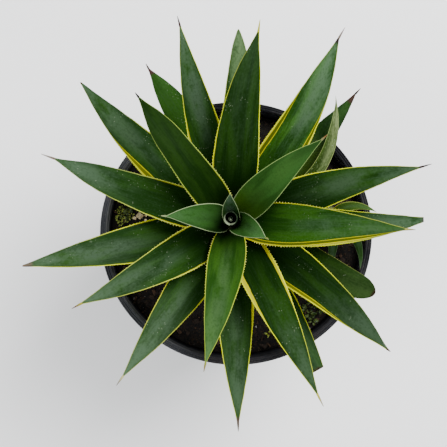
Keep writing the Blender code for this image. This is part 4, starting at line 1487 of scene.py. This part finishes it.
# %% Strew the litter
MOSS_PATCH, PALE_CHIP_AT = (-0.115, 0.018, SOIL_Z), (-0.099, 0.016, SOIL_Z)
strewings = {
    "bark_chips": dict(
        Apart=0.0045, Thickly=12000.0, Smallest=0.003, Largest=0.010, Narrow=0.35, Flat=0.35,
        Tilt=0.7, Crumple=0.0022, Angular=1.0, Seed=5, Finish=skins["bark"]),
    "crumbs": dict(
        Apart=0.0018, Thickly=90000.0, Smallest=0.0012, Largest=0.004, Narrow=0.6, Flat=0.7,
        Tilt=1.5, Crumple=0.0012, Seed=9, Finish=skins["crumb"]),
    "perlite": dict(
        Apart=0.009, Thickly=3200.0, Smallest=0.0012, Largest=0.0036, Narrow=0.75, Flat=0.8,
        Tilt=1.5, Crumple=0.0008, Seed=14, Finish=skins["perlite"]),
    "brown_bits": dict(
        Apart=0.005, Thickly=7000.0, Smallest=0.002, Largest=0.006, Narrow=0.15, Flat=0.2,
        Tilt=0.6, Crumple=0.0020, Angular=1.0, Sink=-0.0010, Seed=33,
        Finish=skins["brown_bit"]),
    "moss": dict(
        Apart=0.0011, Thickly=700000.0, Smallest=0.0013, Largest=0.0032, Narrow=0.8, Flat=1.0,
        Tilt=1.5, Crumple=0.0010, Sink=-0.0008, Seed=21, Finish=skins["moss"],
        **{"Patch": MOSS_PATCH, "Patch radius": 0.012}),
    "pale_chip": dict(
        Apart=0.0045, Thickly=120000.0, Smallest=0.003, Largest=0.008, Narrow=0.5, Flat=0.4,
        Tilt=0.5, Crumple=0.0015, Angular=1.0, Sink=-0.0015, Seed=2,
        Finish=skins["pale_chip"], **{"Patch": PALE_CHIP_AT, "Patch radius": 0.009}),
}
for name, sizes in strewings.items():
    piece = grow(name, litter, sizes, start=bed.data.copy())
    piece.data.shade_flat()
    piece.data.calc_loop_triangles()
    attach(piece, "root")
    print(name, len(piece.data.loop_triangles), "triangles")

# %% [markdown]
# ## Weeds
# Seedlings with round leaflets have come up near the wall. Each is a few stalks that carry
# a cupped leaf, small enough that a fan of eight faces makes one.

# %% Leaflets and stalks
LEAFLET_THICK, LEAFLET_CUP, LEAFLET_OVAL = 0.25 * MM, 0.25, 0.85
STALK_THICK, FOOT_DEPTH = 0.3 * MM, 1.5 * MM
seedling_skin, tree, shader = new_finish("seedling_skin", 0.45, 0.3)
tint = grain(on_object(tree), 420.0)
greens = blend(ramp(tint, 0.38, 0.62), (0.010, 0.026, 0.003), (0.066, 0.095, 0.018))
plug(greens, shader["Base Color"])
plug(relief(tree, tint, 0.2 * MM, 0.4), shader["Normal"])
ROUND, STALKS = 8, 5


def leaflet(shape, centre, radius, tilt, spin):
    """A round cupped leaf with a real thickness."""
    turn = Matrix.Rotation(spin, 3, "Z") @ Matrix.Rotation(tilt, 3, "X")

    def corner(x, y, z):
        return shape.verts.new(centre + turn @ Vector((x, y, z)))

    sides = []
    for z in (0.0, -LEAFLET_THICK):
        middle = corner(0.0, 0.0, z - LEAFLET_CUP * radius)
        angles = [math.tau * k / ROUND for k in range(ROUND)]
        rim = [corner(radius * math.cos(a), LEAFLET_OVAL * radius * math.sin(a), z) for a in angles]
        sides.append((middle, rim))
    (_, top), (_, low) = sides
    for (middle, rim), order in zip(sides, (1, -1)):
        for k in range(ROUND):
            shape.faces.new((middle, rim[k], rim[(k + 1) % ROUND])[::order])
    for k in range(ROUND):
        n = (k + 1) % ROUND
        shape.faces.new((top[n], top[k], low[k], low[n]))


def stalk(shape, start, end, thick):
    """A thin square stem between two points."""
    direction = (end - start).normalized()
    sideways = direction.orthogonal().normalized() * thick
    other = direction.cross(sideways)
    around = (sideways, other, -sideways, -other)
    low, top = ([shape.verts.new(p + d) for d in around] for p in (start, end))
    for k in range(4):
        shape.faces.new((low[k], low[(k + 1) % 4], top[(k + 1) % 4], top[k]))
    shape.faces.new(low[::-1])
    shape.faces.new(top)


print("a leaflet has", ROUND, "sides, a seedling", STALKS, "stalks")

# %% [markdown]
# Five plants grew at the front on the right, and two on the left. Stalks lean out all
# round, and each carries its leaflet at a slant of its own.


# %% Seedlings in two places
def seedlings(name, spots, seed):
    """One piece with a whole seedling on each spot."""
    draw = np.random.default_rng(seed)
    shape = bmesh.new()
    for x, y in spots:
        foot = Vector((x * MM, y * MM, SOIL_Z - FOOT_DEPTH))
        for k in range(STALKS):
            lean = math.tau * (k + draw.uniform(-0.2, 0.2)) / STALKS
            tall, out = draw.uniform(2.0, 9.0) * MM, draw.uniform(1.6, 5.5) * MM
            top = foot + Vector((out * math.cos(lean), out * math.sin(lean), tall))
            stalk(shape, foot, top, STALK_THICK)
            leaflet(shape, top, draw.uniform(1.2, 3.3) * MM, draw.uniform(-0.9, 0.9), lean)
    mesh = mesh_from(shape, name)
    mesh.shade_smooth()
    mesh.materials.append(seedling_skin)
    piece = put_in_scene(name, mesh)
    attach(piece, "root")
    print(name, "has", len(spots), "plants")


seedlings("weed_seedlings", ((76, -82), (85, -78), (78, -89), (68, -93), (72, -76)), 8)
seedlings("wall_seedlings", ((-113, 20), (-109, 27)), 12)

# %% [markdown]
# A pale sprout stands in the mix: three runs of the blade tree, thin and nearly straight,
# from one foot.

# %% Pale sprout
SPROUT_LOOK = dict(
    look_of(4), deep=(0.16, 0.20, 0.06), fresh=(0.24, 0.28, 0.10), root=(0.20, 0.22, 0.10),
    wax=(0.26, 0.28, 0.16), specks=0.0, tone=1.0,
)
sprout_skin = leaf_skin("sprout_skin", SPROUT_LOOK)
SPROUT_AT = (33.5 * MM, -103 * MM, SOIL_Z - FOOT_DEPTH)
# azimuth (rad), reach (mm)
SPROUT_BLADES = ((1.2, 6.0), (3.0, 5.0), (4.6, 4.0))
for number, (azimuth, reach) in enumerate(SPROUT_BLADES, start=1):
    sprout = finish_mesh(grow(f"pale_sprout_{number}", blade, {
        "Foot": SPROUT_AT, "Base": (0.5 * MM, 0.0, 0.0),
        "Tip": (reach * MM, 0.0, (11 - reach) * MM), "Width": 2.0 * MM, "Thickness": 0.8 * MM,
        "Azimuth": azimuth, "Bend": 0.2, "Spine": 0.0, "Left": 1.0, "Round end": 0.6,
        "Waviness": 0.1 * MM, "Tooth": 0.0, "Seed": 77.0,
        "Skin": sprout_skin, "Tooth skin": tooth_horn,
    }))
    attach(sprout, "root")
    print(sprout.name, "has", len(sprout.data.polygons), "faces")

# %% [markdown]
# ## The floor
# A pale matt floor carries the pot and takes its soft shadow. It isn't part of the object.

# %% Floor
FLOOR_HALF = 3.0
floor_mesh = bpy.data.meshes.new("floor")
corners = [(x * FLOOR_HALF, y * FLOOR_HALF, 0.0) for x, y in ((-1, -1), (1, -1), (1, 1), (-1, 1))]
floor_mesh.from_pydata(corners, [], [(0, 1, 2, 3)])
floor = put_in_scene("floor", floor_mesh)
floor_paint, tree, shader = new_finish("floor_paint", 0.8, 0.2)
paint = blend(grain(on_object(tree), 3.0), (0.90, 0.90, 0.90), (0.93, 0.93, 0.93))
plug(paint, shader["Base Color"])
floor_mesh.materials.append(floor_paint)
print("floor is", 2 * FLOOR_HALF, "m wide")
